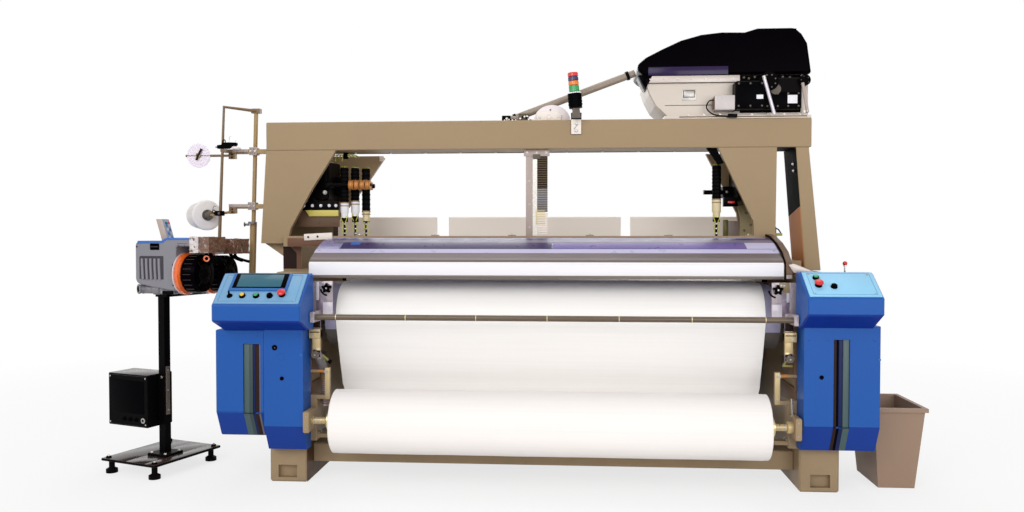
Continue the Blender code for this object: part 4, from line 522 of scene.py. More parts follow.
class Piece:
    def __init__(self, name, body="root", turn=None):
        self.name, self.body = name, body
        self.mesh = bmesh.new()
        self.used = []
        self.turn = turn or Matrix.Identity(4)

    def add(self, part, look):
        if look not in self.used:
            self.used.append(look)
        bmesh.ops.recalc_face_normals(part, faces=part.faces[:])
        for face in part.faces:
            face.material_index = self.used.index(look)
        bmesh.ops.transform(part, matrix=Matrix.Translation(shift) @ self.turn, verts=part.verts[:])
        data = bpy.data.meshes.new("part")
        part.to_mesh(data)
        part.free()
        self.mesh.from_mesh(data)
        bpy.data.meshes.remove(data)

    def prism(self, look, axis, outline, start, end, edge=0.0012, cuts=2):
        # A flat outline drawn out along x, y or z, with its edges rounded.
        spot = {"x": lambda a, b, t: (t, a, b), "y": lambda a, b, t: (a, t, b),
                "z": lambda a, b, t: (a, b, t)}[axis]
        part = bmesh.new()
        face = part.faces.new([part.verts.new(spot(a, b, start)) for a, b in outline])
        grown = bmesh.ops.extrude_face_region(part, geom=[face])["geom"]
        step = Vector(spot(0, 0, end)) - Vector(spot(0, 0, start))
        bmesh.ops.translate(part, verts=[v for v in grown if isinstance(v, bmesh.types.BMVert)], vec=step)
        if edge:
            bmesh.ops.recalc_face_normals(part, faces=part.faces[:])
            sharp = [line for line in part.edges if line.calc_face_angle(0) > radians(25)]
            bmesh.ops.bevel(part, geom=sharp, offset=edge, segments=cuts, profile=0.5, affect="EDGES",
                            clamp_overlap=True)
        self.add(part, look)

    def box(self, look, low, high, edge=0.0012, cuts=2):
        (a, b, c), (d, e, f) = [[fit(one, two) for one, two in zip(low, high)] for fit in (min, max)]
        self.prism(look, "z", [(a, b), (d, b), (d, e), (a, e)], c, f, edge, cuts)

    def lathe(self, look, profile, start, along, sides=24):
        # profile holds (distance along the axis, radius); a radius of 0 closes to a point.
        part = bmesh.new()
        rings = []
        for distance, radius in profile:
            if radius == 0:
                rings.append([part.verts.new((0, 0, distance))] * sides)
            else:
                ring = [(radius * cos(a), radius * sin(a), distance) for a in around(sides)]
                rings.append([part.verts.new(spot) for spot in ring])
        bridge(part, rings)
        self.addTurned(part, look, start, along)

    def addTurned(self, part, look, start, along):
        bmesh.ops.transform(part, matrix=Matrix.Translation(start) @ turnTo(along), verts=part.verts[:])
        self.add(part, look)

    def rod(self, look, start, end, radius, sides=20, edge=0.0006):
        reach = Vector(end) - Vector(start)
        edge = min(edge, radius * 0.4)
        self.lathe(look, [(0, radius - edge), (edge, radius), (reach.length - edge, radius),
                          (reach.length, radius - edge)], start, reach, sides)

    def ball(self, look, centre, radius, sides=16):
        steps = [pi * step / 8 for step in range(9)]
        profile = [(-radius * cos(a), radius * sin(a) if 0 < a < 3.1 else 0) for a in steps]
        self.lathe(look, profile, centre, upward, sides)

    def tube(self, look, points, radius, sides=10, steps=6):
        # A bent rod through the points, with rings turned to follow the curve.
        path = curvePath(points, steps)
        part = bmesh.new()
        rings = []
        side = Vector(upward) if abs((path[1] - path[0]).normalized().z) < 0.9 else Vector(toRight)
        for number, spot in enumerate(path):
            along = (path[min(number + 1, len(path) - 1)] - path[max(number - 1, 0)]).normalized()
            side = (side - along * side.dot(along)).normalized()
            other = along.cross(side)
            outward = [side * cos(a) + other * sin(a) for a in around(sides)]
            rings.append([part.verts.new(spot + out * radius) for out in outward])
        bridge(part, rings)
        self.add(part, look)

    def bolt(self, at, along, size=0.008, look="boltZinc", washer=True):
        # A hexagon head on its washer; size is the head's radius.
        along = Vector(along).normalized()
        if washer:
            self.lathe(look, [(-0.001, size * 1.3), (size * 0.2, size * 1.3)], at, along, 18)
        top = size * 1.05
        self.lathe(look, [(0, size), (top * 0.8, size), (top, size * 0.82)], at, along, 6)

    def star(self, look, at, along, radius, height):
        # A hand knob with five lobes and a screw in its middle.
        along = Vector(along).normalized()
        part = bmesh.new()
        rings = []
        for level, grow in ((0.35, 0.86), (0.45, 1.0), (0.85, 1.0), (1.0, 0.84)):
            ring = []
            for angle in around(40):
                reach = radius * grow * (0.86 + 0.14 * cos(5 * angle))
                ring.append(part.verts.new((reach * sin(angle), reach * cos(angle), height * level)))
            rings.append(ring)
        bridge(part, rings)
        self.addTurned(part, look, at, along)
        self.lathe(look, [(-0.001, radius * 0.45), (height * 0.4, radius * 0.4)], at, along, 16)
        self.lathe("boltZinc", [(height * 0.95, radius * 0.22), (height * 1.04, radius * 0.16)], at,
                   along, 12)

    def done(self, replaces=()):
        data = bpy.data.meshes.new(self.name)
        self.mesh.to_mesh(data)
        self.mesh.free()
        data.shade_smooth()
        data.set_sharp_from_angle(angle=radians(38))
        for look in self.used:
            data.materials.append(finish(look))
        thing = bpy.data.objects.new(self.name, data)
        bpy.context.scene.collection.objects.link(thing)
        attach(thing, self.body)
        if replaces:
            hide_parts(*replaces)
        return thing


def curvePath(points, steps):
    spots = [Vector(point) for point in points]
    spots = [2 * spots[0] - spots[1], *spots, 2 * spots[-1] - spots[-2]]
    path = []
    for before, here, there, after in zip(spots, spots[1:], spots[2:], spots[3:]):
        for step in range(steps):
            t = step / steps
            path.append(0.5 * (2 * here + (there - before) * t
                               + (2 * before - 5 * here + 4 * there - after) * t ** 2
                               + (3 * here - before - 3 * there + after) * t ** 3))
    return path + [spots[-2]]


def slopeTurn(foot, head):
    # Turns x, distance up a console's slope and height over it into the loom's own places.
    along = (Vector((0, *head)) - Vector((0, *foot))).normalized()
    out = Vector((0, -along.z, along.y))
    turn = Matrix(((1, 0, 0, 0), (0, along.y, out.y, foot[0]), (0, along.z, out.z, foot[1]), (0, 0, 0, 1)))
    return turn, (Vector(head) - Vector(foot)).length


# Sloping control panels.

leftPanel = {"foot": (-0.25, 0.866), "head": (-0.1, 1.0), "edges": (-1.499, -1.108),
             "controls": ((0.166, 0.25, "toggle"), (0.317, 0.25, "yellowCap"), (0.48, 0.25, "greenCap"),
                          (0.64, 0.25, "blackPlastic"), (0.78, 0.29, "stop")),
             "bezel": (0.125, 0.825, 0.4, 0.965)}
rightPanel = {"foot": (-0.25, 0.911), "head": (-0.1, 1.0135), "edges": (1.125, 1.429),
              "controls": ((0.17, 0.72, "greenCap"), (0.17, 0.43, "stop"), (0.38, 0.38, "blackPlastic")),
              "bezel": None, "look": "panelPale"}


def control(piece, x, u, kind, base):
    if kind == "toggle":
        piece.lathe("blackPlastic", [(0, 0.0135), (0.003, 0.0135), (0.004, 0.01), (0.009, 0.009)],
                (x, u, base), upward)
        piece.lathe("blackPlastic", [(0, 0.0035), (0.016, 0.0045), (0.02, 0.003)], (x, u, base + 0.008),
                (0, 0.35, 1), 12)
        return
    if kind == "stop":
        piece.lathe("blackPlastic", [(0, 0.0155), (0.004, 0.0155), (0.006, 0.013), (0.016, 0.012)],
                (x, u, base), upward)
        piece.lathe("redPlastic", [(0, 0.0165), (0.003, 0.019), (0.008, 0.0185), (0.012, 0.014),
                (0.0135, 0.006), (0.014, 0)], (x, u, base + 0.0145), upward, 28)
        return
    piece.lathe("blackPlastic", [(0, 0.0145), (0.004, 0.0145), (0.006, 0.0135), (0.012, 0.0125),
            (0.012, 0.0105), (0.01, 0.0105)], (x, u, base), upward, 28)
    piece.lathe(kind, [(0, 0.0102), (0.0045, 0.0102), (0.006, 0.008), (0.0062, 0)], (x, u, base + 0.0095),
            upward, 28)


def makePanel(name, facts, node):
    turn, length = slopeTurn(facts["foot"], facts["head"])
    piece = Piece(name, "root", turn)
    low, high = facts["edges"]
    width = high - low
    base = 0.0063
    piece.box(facts.get("look", "panelBlue"), (low, length * 0.03, 0.0003), (high, length * 0.97, base),
            0.002)
    x0, x1, u0, u1 = low + 0.018, high - 0.018, length * 0.09, length * 0.91
    line = 0.0016
    for a, b in (((x0, u0), (x1, u0 + line)), ((x0, u1), (x1, u1 + line)), ((x0, u0), (x0 + line, u1)),
                 ((x1, u0), (x1 + line, u1))):
        piece.box("panelLine", (*a, base - 0.001), (*b, base + 0.0004), 0)
    for x in (x0 + 0.008, x1 - 0.008):
        for u in (u0 + 0.007, u1 - 0.007):
            piece.lathe("boltZinc", [(0, 0.0042), (0.0018, 0.0042), (0.0026, 0.003)], (x, u, base - 0.0005),
                    upward, 14)
            piece.box("blackPlastic", (x - 0.003, u - 0.0005, base + 0.0018),
                    (x + 0.003, u + 0.0005, base + 0.0023), 0)
    for share, t, kind in facts["controls"]:
        control(piece, low + share * width, t * length, kind, base - 0.0005)
    if facts["bezel"]:
        left, right, bottom, top = facts["bezel"]
        x0, x1, u0, u1 = low + left * width, low + right * width, bottom * length, top * length
        piece.box("bezelBlue", (x0, u0, base - 0.001), (x1, u1, base + 0.006), 0.002)
        piece.box("blackPlastic", (x0 + 0.014, u0 + 0.016, base + 0.004),
                (x1 - 0.012, u1 - 0.006, base + 0.0075), 0.001)
        piece.box("screenGlass", (x0 + 0.034, u0 + 0.022, base + 0.006),
                (x1 - 0.034, u1 - 0.012, base + 0.0079), 0.0004)
    return piece.done([node])


makePanel("leftPanelFace", leftPanel, "control_panel_left")
makePanel("rightPanelFace", rightPanel, "control_panel_right")

handLever = {"pivot": (1.33, 0.05, 0.9), "reach": 0.032, "rise": 0.16, "ball": 0.0108}


def makeHandLever():
    x, y, z = handLever["pivot"]
    piece = Piece("ballLever", "hand_lever_arm")
    piece.lathe("blackSteel", [(0.0003, 0.0135), (0.004, 0.014), (0.04, 0.014), (0.045, 0.012)],
            (x, y, z), toRight)
    x += handLever["reach"]
    top = z + handLever["rise"] - handLever["ball"]
    piece.rod("brightSteel", (x, y, z), (x, y, top - 0.004), 0.0042, 14)
    piece.lathe("brightSteel", [(0, 0.0065), (0.006, 0.0065)], (x, y, top - 0.014), upward, 14)
    piece.ball("redPlastic", (x, y, top), handLever["ball"], 20)
    return piece.done(["hand_lever"])


makeHandLever()
print("control panels and hand lever are made")

# What shows in and on the blue covers: the strips in the recesses, the cam lock, holes and the tab.

coverTrim = {
    "face": -0.12, "back": -0.02, "screws": (-1.508, -1.345, -1.148, 1.158, 1.238, 1.44),
    "left": {"recess": (-1.4116, -1.3307, 0.283, 0.674), "knee": 0.356,
             "top": (-0.1169, 0.348), "toe": (-0.061, 0.238),
             "strips": ((0.0, 0.34, "greenGrey", 0.006), (0.34, 0.54, "darkGreen", 0.004),
                        (0.54, 0.66, "darkBlue", 0.008), (0.66, 0.9, "darkBrown", 0.011),
                        (0.9, 1.0, "greyStrip", 0.007))},
    "right": {"recess": (1.2655, 1.3345, 0.213, 0.716), "knee": 0.33,
              "top": (-0.1172, 0.322), "toe": (-0.0619, 0.2115),
              "strips": ((0.0, 0.2, "darkBrown", 0.006), (0.2, 0.36, "rubber", 0.011),
                         (0.36, 0.6, "darkBlue", 0.009), (0.6, 1.0, "greenGrey", 0.006))},
}


def makeCoverTrim():
    piece = Piece("coverTrim")
    face, back = coverTrim["face"], coverTrim["back"]
    for side in ("left", "right"):
        facts = coverTrim[side]
        x0, x1, z0, z1 = facts["recess"]
        knee, top, toe = facts["knee"], facts["top"], facts["toe"]
        for start, end, look, deep in facts["strips"]:
            a, b = x0 + (x1 - x0) * start + 0.0003, x0 + (x1 - x0) * end - 0.0003
            front = face + deep
            foot = front + (knee - z0) * 0.5  # the cover slopes back below its knee
            piece.prism(look, "x", [(front, z1), (back, z1), (back, z0), (foot, z0), (front, knee)],
                    a, b, 0.001)
            # Over the sloping foot of the cover the strips go on to its lower edge.
            piece.prism(look, "x", [top, (top[0] + 0.003, top[1]), (toe[0] + 0.003, toe[1]), toe], a, b, 0)
    piece.lathe("blackPlastic", [(-0.001, 0.0125), (0.003, 0.0125), (0.005, 0.01)], (-1.262, face, 0.659),
            toFront)
    piece.lathe("greyPlastic", [(0.004, 0.0032), (0.0062, 0.0026)], (-1.26, face, 0.659), toFront, 16)
    piece.lathe("bluePaint", [(-0.001, 0.0165), (0.0014, 0.0165), (0.0014, 0.0145), (0.0004, 0.014)],
            (-1.231, face, 0.616), toFront, 32)
    for x, z in ((-1.229, 0.516), (1.213, 0.549)):
        piece.lathe("rubber", [(-0.001, 0.0095), (0.0016, 0.0095), (0.0018, 0.006), (0.0005, 0.005)],
                (x, face, z), toFront)
    for x, z in ((-1.137, 0.626), (1.462, 0.63)):
        piece.box("bezelBlue", (x - 0.006, face - 0.0016, z - 0.004), (x + 0.006, face + 0.001, z + 0.004),
                0.0005)
    for x in coverTrim["screws"]:  # panel screws under the lip
        piece.lathe("bluePaint", [(-0.001, 0.005), (0.0012, 0.005), (0.002, 0.0035)], (x, face, 0.715),
                toFront, 14)
    return piece.done()


makeCoverTrim()
print("cover trim is made")

# Hood: the coloured film on the shell, the bare white strip and the edges of the band.

hood = {"left": -1.135, "right": 1.074, "front": -0.006, "bottom": 0.977, "stripTop": 1.042,
        "bend": (0.01, 1.062), "band": (0.085, 1.098), "start": (0.0853, 1.098), "end": (0.401, 1.162),
        "bulge": 0.022}


def shellSpot(t, lift=0.0):
    # A place on the shell's curve, t from its front to its hinge, at a height over it.
    (y0, z0), (y1, z1) = hood["start"], hood["end"]
    slope = (z1 - z0) + hood["bulge"] * pi * cos(pi * t)
    normal = Vector((0, -slope, y1 - y0)).normalized()
    spot = Vector((0, y0 + (y1 - y0) * t, z0 + (z1 - z0) * t + hood["bulge"] * sin(pi * t)))
    return spot + normal * lift


def shellStrip(piece, look, low, high, start, end, under=0.0004, over=0.0012):
    steps = 8
    shares = [start + (end - start) * step / steps for step in range(steps + 1)]
    above = [shellSpot(t, over) for t in shares]
    below = [shellSpot(t, under) for t in reversed(shares)]
    piece.prism(look, "x", [(spot.y, spot.z) for spot in above + below], low, high, 0)


def makeHood():
    piece = Piece("hoodTrim", "hood")
    left, right = hood["left"] + 0.001, hood["right"] - 0.001
    front = hood["front"]
    # White strip on the front with its grey lower lip.
    piece.box("whitePaint", (left, front - 0.0015, 0.991), (right, front + 0.001, 1.0445), 0.0008)
    piece.box("greyStrip", (left, front - 0.003, hood["bottom"]), (right, front + 0.001, 0.9905), 0.001)

    def plate(look, start, end, low, high, lift=0.0013):
        # A thin plate along a part of the line from start to end.
        (y0, z0), (y1, z1) = start, end
        out = Vector((0, -(z1 - z0), y1 - y0)).normalized()
        spots = [(y0 + (y1 - y0) * t + out.y * rise, z0 + (z1 - z0) * t + out.z * rise)
                 for t, rise in ((low, 0.0002), (high, 0.0002), (high, lift), (low, lift))]
        piece.prism(look, "x", spots, left, right, 0)

    strip = (front, hood["stripTop"])
    plate("whitePaint", strip, hood["bend"], 0.1, 0.5)
    # Painted shade on the band: darker where the front bends back and on the band's lower third; the lilac
    # strip along its top edge is a painted highlight.
    plate("bandShade", strip, hood["bend"], 0.5, 1.0)
    plate("bandShadedAluminium", hood["bend"], hood["band"], 0.0, 0.3)
    plate("aluminium", hood["bend"], hood["band"], 0.3, 0.86, 0.0016)
    plate("lilacFilmAndBandHighlight", hood["bend"], hood["band"], 0.86, 1.0)
    # Film on the shell: lilac in front, a dark violet band, a pale line and a dark one at the back.
    seam = 0.012
    shellStrip(piece, "lilacFilmAndBandHighlight", left, right, 0.0, 0.1)
    shellStrip(piece, "purpleBand", left + 0.115, seam, 0.1, 0.37)
    shellStrip(piece, "violetBand", seam + 0.006, 0.93, 0.12, 0.36)
    shellStrip(piece, "lilacFilmAndBandHighlight", 0.934, right, 0.12, 0.36)
    shellStrip(piece, "greyLilac", left + 0.06, right, 0.37, 0.53)
    shellStrip(piece, "darkViolet", left + 0.08, right, 0.55, 0.78)
    shellStrip(piece, "bandBlue", left + 0.155, left + 0.2, 0.26, 0.4, 0.001, 0.0018)
    for x in (left + 0.02, right - 0.02):
        spot = shellSpot(0.05, 0.001)
        piece.lathe("boltZinc", [(0, 0.006), (0.002, 0.006), (0.003, 0.004)], (x, spot.y, spot.z),
                (0, -0.3, 1), 14)
    return piece.done()


makeHood()


def makeHoodEnd():
    # Gasket and screws on the fixed end plate, and a small bar and a silver flange at its front.
    piece = Piece("hoodEndTrim")
    x = 1.0815
    edge = [(-0.019, 1.001), (-0.0115, 1.0545), (0.06, 1.1045), (0.17, 1.1445), (0.3, 1.1745), (0.4, 1.1843)]
    inner = [(y + 0.006, z - 0.01) for y, z in edge]
    piece.prism("rubber", "x", [*edge, *reversed(inner)], x - 0.0035, x - 0.0012, 0)
    for y, z in ((0.02, 1.05), (0.12, 1.105), (0.26, 1.145)):
        piece.bolt((x + 0.029, y, z), toRight, 0.006)
    for y, z in ((0.16, 1.128), (0.3, 1.158)):
        piece.bolt((x - 0.0015, y, z - 0.02), toLeft, 0.005)
    piece.box("pinkGrey", (1.083, -0.0125, 0.98), (1.11, -0.0075, 1.045), 0.002)
    piece.prism("flangeSilver", "y", [(1.09, 1.044), (1.113, 1.05), (1.205, 1.012), (1.185, 0.998),
            (1.112, 1.01)], -0.03, -0.012, 0.002)
    return piece.done()


makeHoodEnd()


def makeHingeFittings():
    piece = Piece("hingeFittings")
    turn = Matrix.Rotation(radians(-3), 4, "Y")
    bar = Piece("flatBar", "root", Matrix.Translation((-1.21, 0.4065, 1.172)) @ turn)
    bar.box("paleBeige", (-0.078, -0.0005, -0.017), (0.072, 0.0075, 0.017), 0.002)
    for x in (-0.055, -0.005):
        bar.lathe("blackSteel", [(-0.001, 0.0055), (0.003, 0.0055), (0.004, 0.004)], (x, -0.0005, 0),
                toFront, 14)
    bar.done()
    for number in range(6):
        x = -1.0 + number * 0.4
        piece.box("tanPaint", (x - 0.02, 0.4165, 1.1755), (x + 0.02, 0.447, 1.1805), 0.001)
        piece.bolt((x, 0.432, 1.1805), upward, 0.005)
    return piece.done()


makeHingeFittings()
print("hood is dressed")

# Cloth, wound cloth and the rail in front of them.


def makeClothRoll():
    piece = Piece("rollEnds", "cloth_roll")
    y, z = -0.08, 0.315
    for side, face in ((-1, -0.985), (1, 0.982)):
        # Wound layers show as rings on the ends.
        piece.lathe("woundCloth", [(0, 0.147), (0.0012, 0.1465), (0.0022, 0.139), (0.0014, 0.131),
                (0.0024, 0.122), (0.0015, 0.112), (0.0025, 0.1), (0.0016, 0.088), (0.0022, 0.07),
                (0.0012, 0.0435)], (face, y, z), (side, 0, 0), 48)
    inner = [(0.0004, 0.0175), (0.0004, 0.0432)]
    piece.lathe("brass", [*inner, (0.006, 0.0442), (0.018, 0.0442), (0.021, 0.036), (0.026, 0.036),
            (0.029, 0.04), (0.0385, 0.04), (0.0455, 0.03), (0.0458, 0.0168)], (-0.985, y, z), toLeft, 36)
    piece.lathe("brass", [*inner, (0.005, 0.0442), (0.014, 0.0442), (0.017, 0.034), (0.021, 0.034),
            (0.024, 0.04), (0.031, 0.038), (0.0358, 0.03), (0.036, 0.0168)], (0.982, y, z), toRight, 36)
    for side, start, end in ((-1, 1.0315, 1.0985), (1, 1.0185, 1.0985)):
        for number in range(3):
            x = start + (end - start) * (0.25 + 0.25 * number)
            piece.lathe("boltZinc", [(0, 0.0164), (0.001, 0.0172), (0.003, 0.0172), (0.004, 0.0164)],
                    (side * x, y, z), (side, 0, 0), 24)
    return piece.done()


makeClothRoll()


def makeFrontRail():
    piece = Piece("railTrim")
    y, z, radius = -0.1, 0.8, 0.0135
    for number in range(7):  # joints of the sleeves on the rail
        x = -0.98 + number * 0.325
        piece.lathe("brass", [(0, radius), (0.0007, radius + 0.0006), (0.0035, radius + 0.0006),
                (0.0042, radius)], (x, y, z), toRight, 24)
    for side, x in ((-1, -1.101), (1, 1.116)):
        piece.lathe("goldenTan", [(0, 0.0142), (0, 0.019), (0.006, 0.0195), (0.01, 0.018), (0.01, 0.0142)],
                (x - side * 0.012, y, z), (-side, 0, 0), 28)
        for rise in (0.012, -0.012):
            piece.bolt((x + side * 0.012, y - 0.0205, z + rise), toFront, 0.0045)
    return piece.done()


makeFrontRail()
print("cloth roll and rail are dressed")

# What shows between the covers and the cloth, on both sides.

works = {"plateFace": -0.0063, "knob": (1.042, 0.93), "hangerFace": -0.0163, "hangerX": 1.096,
         "lowerKnobZ": 0.616}


def mirroredBox(piece, side):
    def across(near, far, low, high, deep, top, look, edge=0.0012):
        # A box between two distances from the middle, on the side that is being made.
        a, b = sorted((side * near, side * far))
        piece.box(look, (a, deep, low), (b, top, high), edge)
    return across


def sideWorks(side):
    name = "left" if side < 0 else "right"
    piece = Piece(name + "Works")
    face, hang = works["plateFace"], works["hangerFace"]
    knobX, knobZ = side * works["knob"][0], works["knob"][1]
    hangX = side * works["hangerX"]
    across = mirroredBox(piece, side)
    # Crinkled protective film on the plate, in overlapping sheets.
    across(1.0205, 1.0985, 0.858, 0.9605, face - 0.0006, face + 0.0005, "filmPlate", 0.0002)
    across(1.0205, 1.07, 0.805, 0.862, face - 0.001, face + 0.0005, "filmPale", 0.0003)
    across(1.066, 1.0985, 0.803, 0.88, face - 0.0014, face + 0.0005, "filmDark", 0.0003)
    across(1.086, 1.0985, 0.872, 0.958, face - 0.0018, face + 0.0005, "filmPale", 0.0004)
    # Dark arc slot under the hand knob.
    arcPoints = [(knobX + 0.036 * cos(radians(a)), face - 0.001, knobZ + 0.036 * sin(radians(a)))
                 for a in (190 if side < 0 else 188, 205, 225, 245, 262)]
    piece.tube("rubber", arcPoints, 0.004, 8)
    piece.lathe("boltZinc", [(-0.0005, 0.0125), (0.004, 0.0125), (0.005, 0.01)], (knobX, face, knobZ),
            toFront)
    piece.lathe("blackPlastic", [(0.004, 0.0085), (0.013, 0.0085)], (knobX, face, knobZ), toFront)
    piece.star("blackPlastic", (knobX, face - 0.006, knobZ), toFront, 0.0245, 0.0265)
    # Hanger: strap, stepped clamp, jaw, neck and the lower knob.
    across(1.0775, 1.1145, 0.742, 0.801, hang - 0.0008, hang + 0.001, "darkBrown", 0.0006)
    across(1.069, 1.123, 0.6945, 0.7385, hang - 0.0312, hang + 0.002, "goldenTan", 0.002)
    across(1.073, 1.119, 0.7215, 0.7265, hang - 0.0322, hang - 0.028, "darkBrown", 0.0006)
    across(1.0735, 1.109, 0.6405, 0.694, hang - 0.0232, hang + 0.002, "goldenTan", 0.002)
    across(1.0725, 1.095, 0.637, 0.6465, hang - 0.024, hang + 0.001, "brass", 0.001)
    piece.bolt((hangX + side * 0.008, hang - 0.0312, 0.709), toFront, 0.0048)
    piece.bolt((hangX - side * 0.01, hang - 0.0312, 0.729), toFront, 0.0035)
    across(1.0795, 1.1125, 0.602, 0.64, hang - 0.001, hang + 0.001, "darkBrown", 0.0006)
    piece.star("greyPlastic", (hangX, hang - 0.008, works["lowerKnobZ"]), toFront, 0.0205, 0.0225)
    return piece


def innerPadsWithPaintedShade(piece, side):
    # Pads and a strip on the frame's inner face; their dark brown is painted shade.
    across = mirroredBox(piece, side)
    for z in (0.7, 0.56, 0.44):
        across(1.137, 1.1495, z - 0.05, z + 0.03, 0.02, 0.3, "castDark", 0.003)
    across(1.128, 1.1495, 0.46, 0.79, 0.006, 0.016, "castDark", 0.002)


def bearingTrim(piece, side):
    # Bolts and plate of the bearing, then the tie rod with its collar and the guide bar.
    across = mirroredBox(piece, side)
    inward = (-side, 0, 0)
    for y, z in ((0.02, 0.4), (0.02, 0.235), (0.05, 0.235)):
        piece.bolt((side * 1.0997, y, z), inward, 0.006)
    for z in (0.286, 0.345):
        piece.bolt((side * 1.112, -0.1303, z), toFront, 0.0045)
    across(1.1005, 1.1275, 0.27, 0.36, -0.1316, -0.129, "tanPaint", 0.001)
    piece.lathe("rustOrange", [(0, 0.0088), (0.03, 0.0088)], (side * 1.099, 0.01, 0.532), inward, 20)
    piece.lathe("boltZinc", [(0, 0.0125), (0.004, 0.0125), (0.005, 0.01)], (side * 1.0655, 0.01, 0.532),
            inward, 6)
    across(1.0385, 1.0615, 0.402, 0.548, -0.0012, 0.0008, "goldenTan", 0.0008)
    for z in (0.425, 0.53):
        piece.bolt((side * 1.05, -0.0012, z), toFront, 0.0045)


def makeLeftWorks():
    piece = sideWorks(-1)
    # Small olive lever that leans down to the right, with its dark grip.
    piece.rod("olive", (-1.062, -0.03, 0.612), (-1.03, -0.034, 0.587), 0.0065, 14)
    piece.lathe("rubber", [(0, 0.0085), (0.012, 0.01), (0.017, 0.008)], (-1.034, -0.034, 0.59),
            (0.7, 0, -0.55), 14)
    # Corrugated hose: rings over the smooth hose of the frame.
    route = curvePath([(-1.09, -0.004, 0.61), (-1.084, 0.032, 0.56), (-1.075, 0.052, 0.48),
                       (-1.075, 0.055, 0.362)], 11)
    for number, (here, there) in enumerate(zip(route, route[1:])):
        if number > 1:
            look = "hoseGrey" if number < 15 else "hoseBrown"
            along = there - here
            piece.lathe(look, [(-0.002, 0.0192), (0, 0.0214), (0.0022, 0.0214), (0.004, 0.0192)], here,
                    along, 24)
    innerPadsWithPaintedShade(piece, -1)
    bearingTrim(piece, -1)
    piece.lathe("brass", [(0, 0.0155), (0, 0.022), (0.005, 0.022), (0.007, 0.0185), (0.007, 0.0164)],
            (-1.0998, -0.08, 0.315), toRight, 28)
    return piece.done()


def makeRightWorks():
    piece = sideWorks(1)
    # Plate with two holes behind the knob, and the dark rod beside it.
    piece.box("tanPaint", (1.0525, -0.0085, 0.915), (1.0985, -0.006, 0.9615), 0.001)
    for x, z in ((1.062, 0.95), (1.074, 0.948)):
        piece.lathe("boltZinc", [(-0.001, 0.0048), (0.0012, 0.0048), (0.0012, 0.003), (0.0004, 0.0028)],
                (x, -0.0085, z), toFront, 16)
    piece.tube("darkBrown", [(0.995, 0.047, 0.955), (1.01, 0.035, 0.953), (1.028, -0.008, 0.938)], 0.0022, 8)
    # Bent foot under the lower knob.
    piece.box("olive", (1.065, -0.035, 0.58), (1.11, -0.022, 0.59), 0.002)
    piece.rod("olive", (1.068, -0.03, 0.586), (1.082, -0.024, 0.603), 0.006, 14)
    innerPadsWithPaintedShade(piece, 1)
    # Silver link with an eye at its foot, beside the shaft.
    piece.rod("brightSteel", (1.104, -0.052, 0.366), (1.1, -0.052, 0.44), 0.0045, 14)
    piece.lathe("boltZinc", [(-0.005, 0.0075), (0.005, 0.0075)], (1.104, -0.052, 0.362), (0, 1, 0), 18)
    bearingTrim(piece, 1)
    piece.lathe("goldenTan", [(0, 0.0168), (0, 0.026), (0.004, 0.0275), (0.024, 0.0275), (0.027, 0.025),
            (0.027, 0.0175)], (1.0998, -0.08, 0.315), toLeft, 28)
    return piece.done()


def makeRollerEnds():
    # Lavender film still wrapped round both ends of the take-up roller, outside the cloth.
    piece = Piece("rollerFilm")
    y, z = 0.205, 0.79
    turns = [radians(a) for a in range(96, 205, 6)]
    for low, high in ((-1.0745, -1.0225), (1.0075, 1.0745)):
        outline = ([(y + 0.1566 * cos(a), z + 0.1566 * sin(a)) for a in turns]
                   + [(y + 0.1552 * cos(a), z + 0.1552 * sin(a)) for a in reversed(turns)])
        piece.prism("rollerFilm", "x", outline, low, high, 0)
    return piece.done()


makeRollerEnds()
makeLeftWorks()
makeRightWorks()
print("works beside the cloth are made")

# Lifting gear over the heald frames and what shows inside the columns.

lifters = {"wide": 1.4, "neck": 0.0136, "sleeve": 0.0166, "step": 1.2998, "top": 1.532,
           "left": ((-1.1095, 0.55, 1.272, 1.355), (-1.0615, 0.59, 1.282, 1.365),
                    (-1.0115, 0.63, 1.256, 1.312)),
           "right": ((0.8595, 0.55, 1.272, 1.368), (0.8665, 0.59, 1.272, 1.368),
                     (0.8735, 0.63, 1.272, 1.368))}


def makeLifter(number, side):
    x, y, low, high = lifters[side][number]
    turn = Matrix.Translation((x, y, 0)) @ Matrix.Diagonal((lifters["wide"], 1, 1, 1))
    piece = Piece("%sLifter%d" % (side, number + 1), "heald_%d" % (number + 1), turn)
    neck, sleeve, step = lifters["neck"], lifters["sleeve"], lifters["step"]

    def turned(look, profile, sides=28):
        piece.lathe(look, profile, (0, 0, 0), upward, sides)

    # Cream foot, the ribbed rubber boot above it and a clip on top.
    look = "whitePaint" if side == "left" and number != 2 else "cream"
    turned(look, [(low, neck), (step, neck), (step, sleeve), (high, sleeve)])
    for z in (high - 0.022, high - 0.006):
        turned("tanPaint", [(z, sleeve), (z + 0.001, sleeve + 0.0007), (z + 0.005, sleeve + 0.0007),
                (z + 0.006, sleeve)])
    ribs = 9
    for rib in range(ribs):
        z = high + 0.006 + (lifters["top"] - high - 0.014) * rib / (ribs - 1)
        turned("rubber", [(z, 0.0158), (z + 0.002, sleeve + 0.0005), (z + 0.006, sleeve + 0.0005),
                (z + 0.008, 0.0158)])
    turned("clipGreen", [(1.5335, 0.012), (1.5345, 0.015), (1.544, 0.0135), (1.5495, 0.0085), (1.55, 0)])
    for way in (-1, 1):  # spring hooks from the foot down to the heald frame
        points = [(way * 0.008, -0.0145, low + 0.012), (way * 0.0105, -0.015, low - 0.006),
                  (way * 0.004, -0.01, low - 0.03), (way * 0.0095, -0.0085, low - 0.055),
                  (way * 0.005, -0.0075, low - 0.085)]
        piece.tube("wireYellow", points, 0.0015, 8, 5)
    for z in (1.16, 1.185, 1.21, 1.235):
        turned("boltZinc", [(z, 0.0055), (z + 0.001, 0.0068), (z + 0.007, 0.0068), (z + 0.008, 0.0055)], 16)
    return piece.done()


for number in range(3):
    makeLifter(number, "left")
    makeLifter(number, "right")


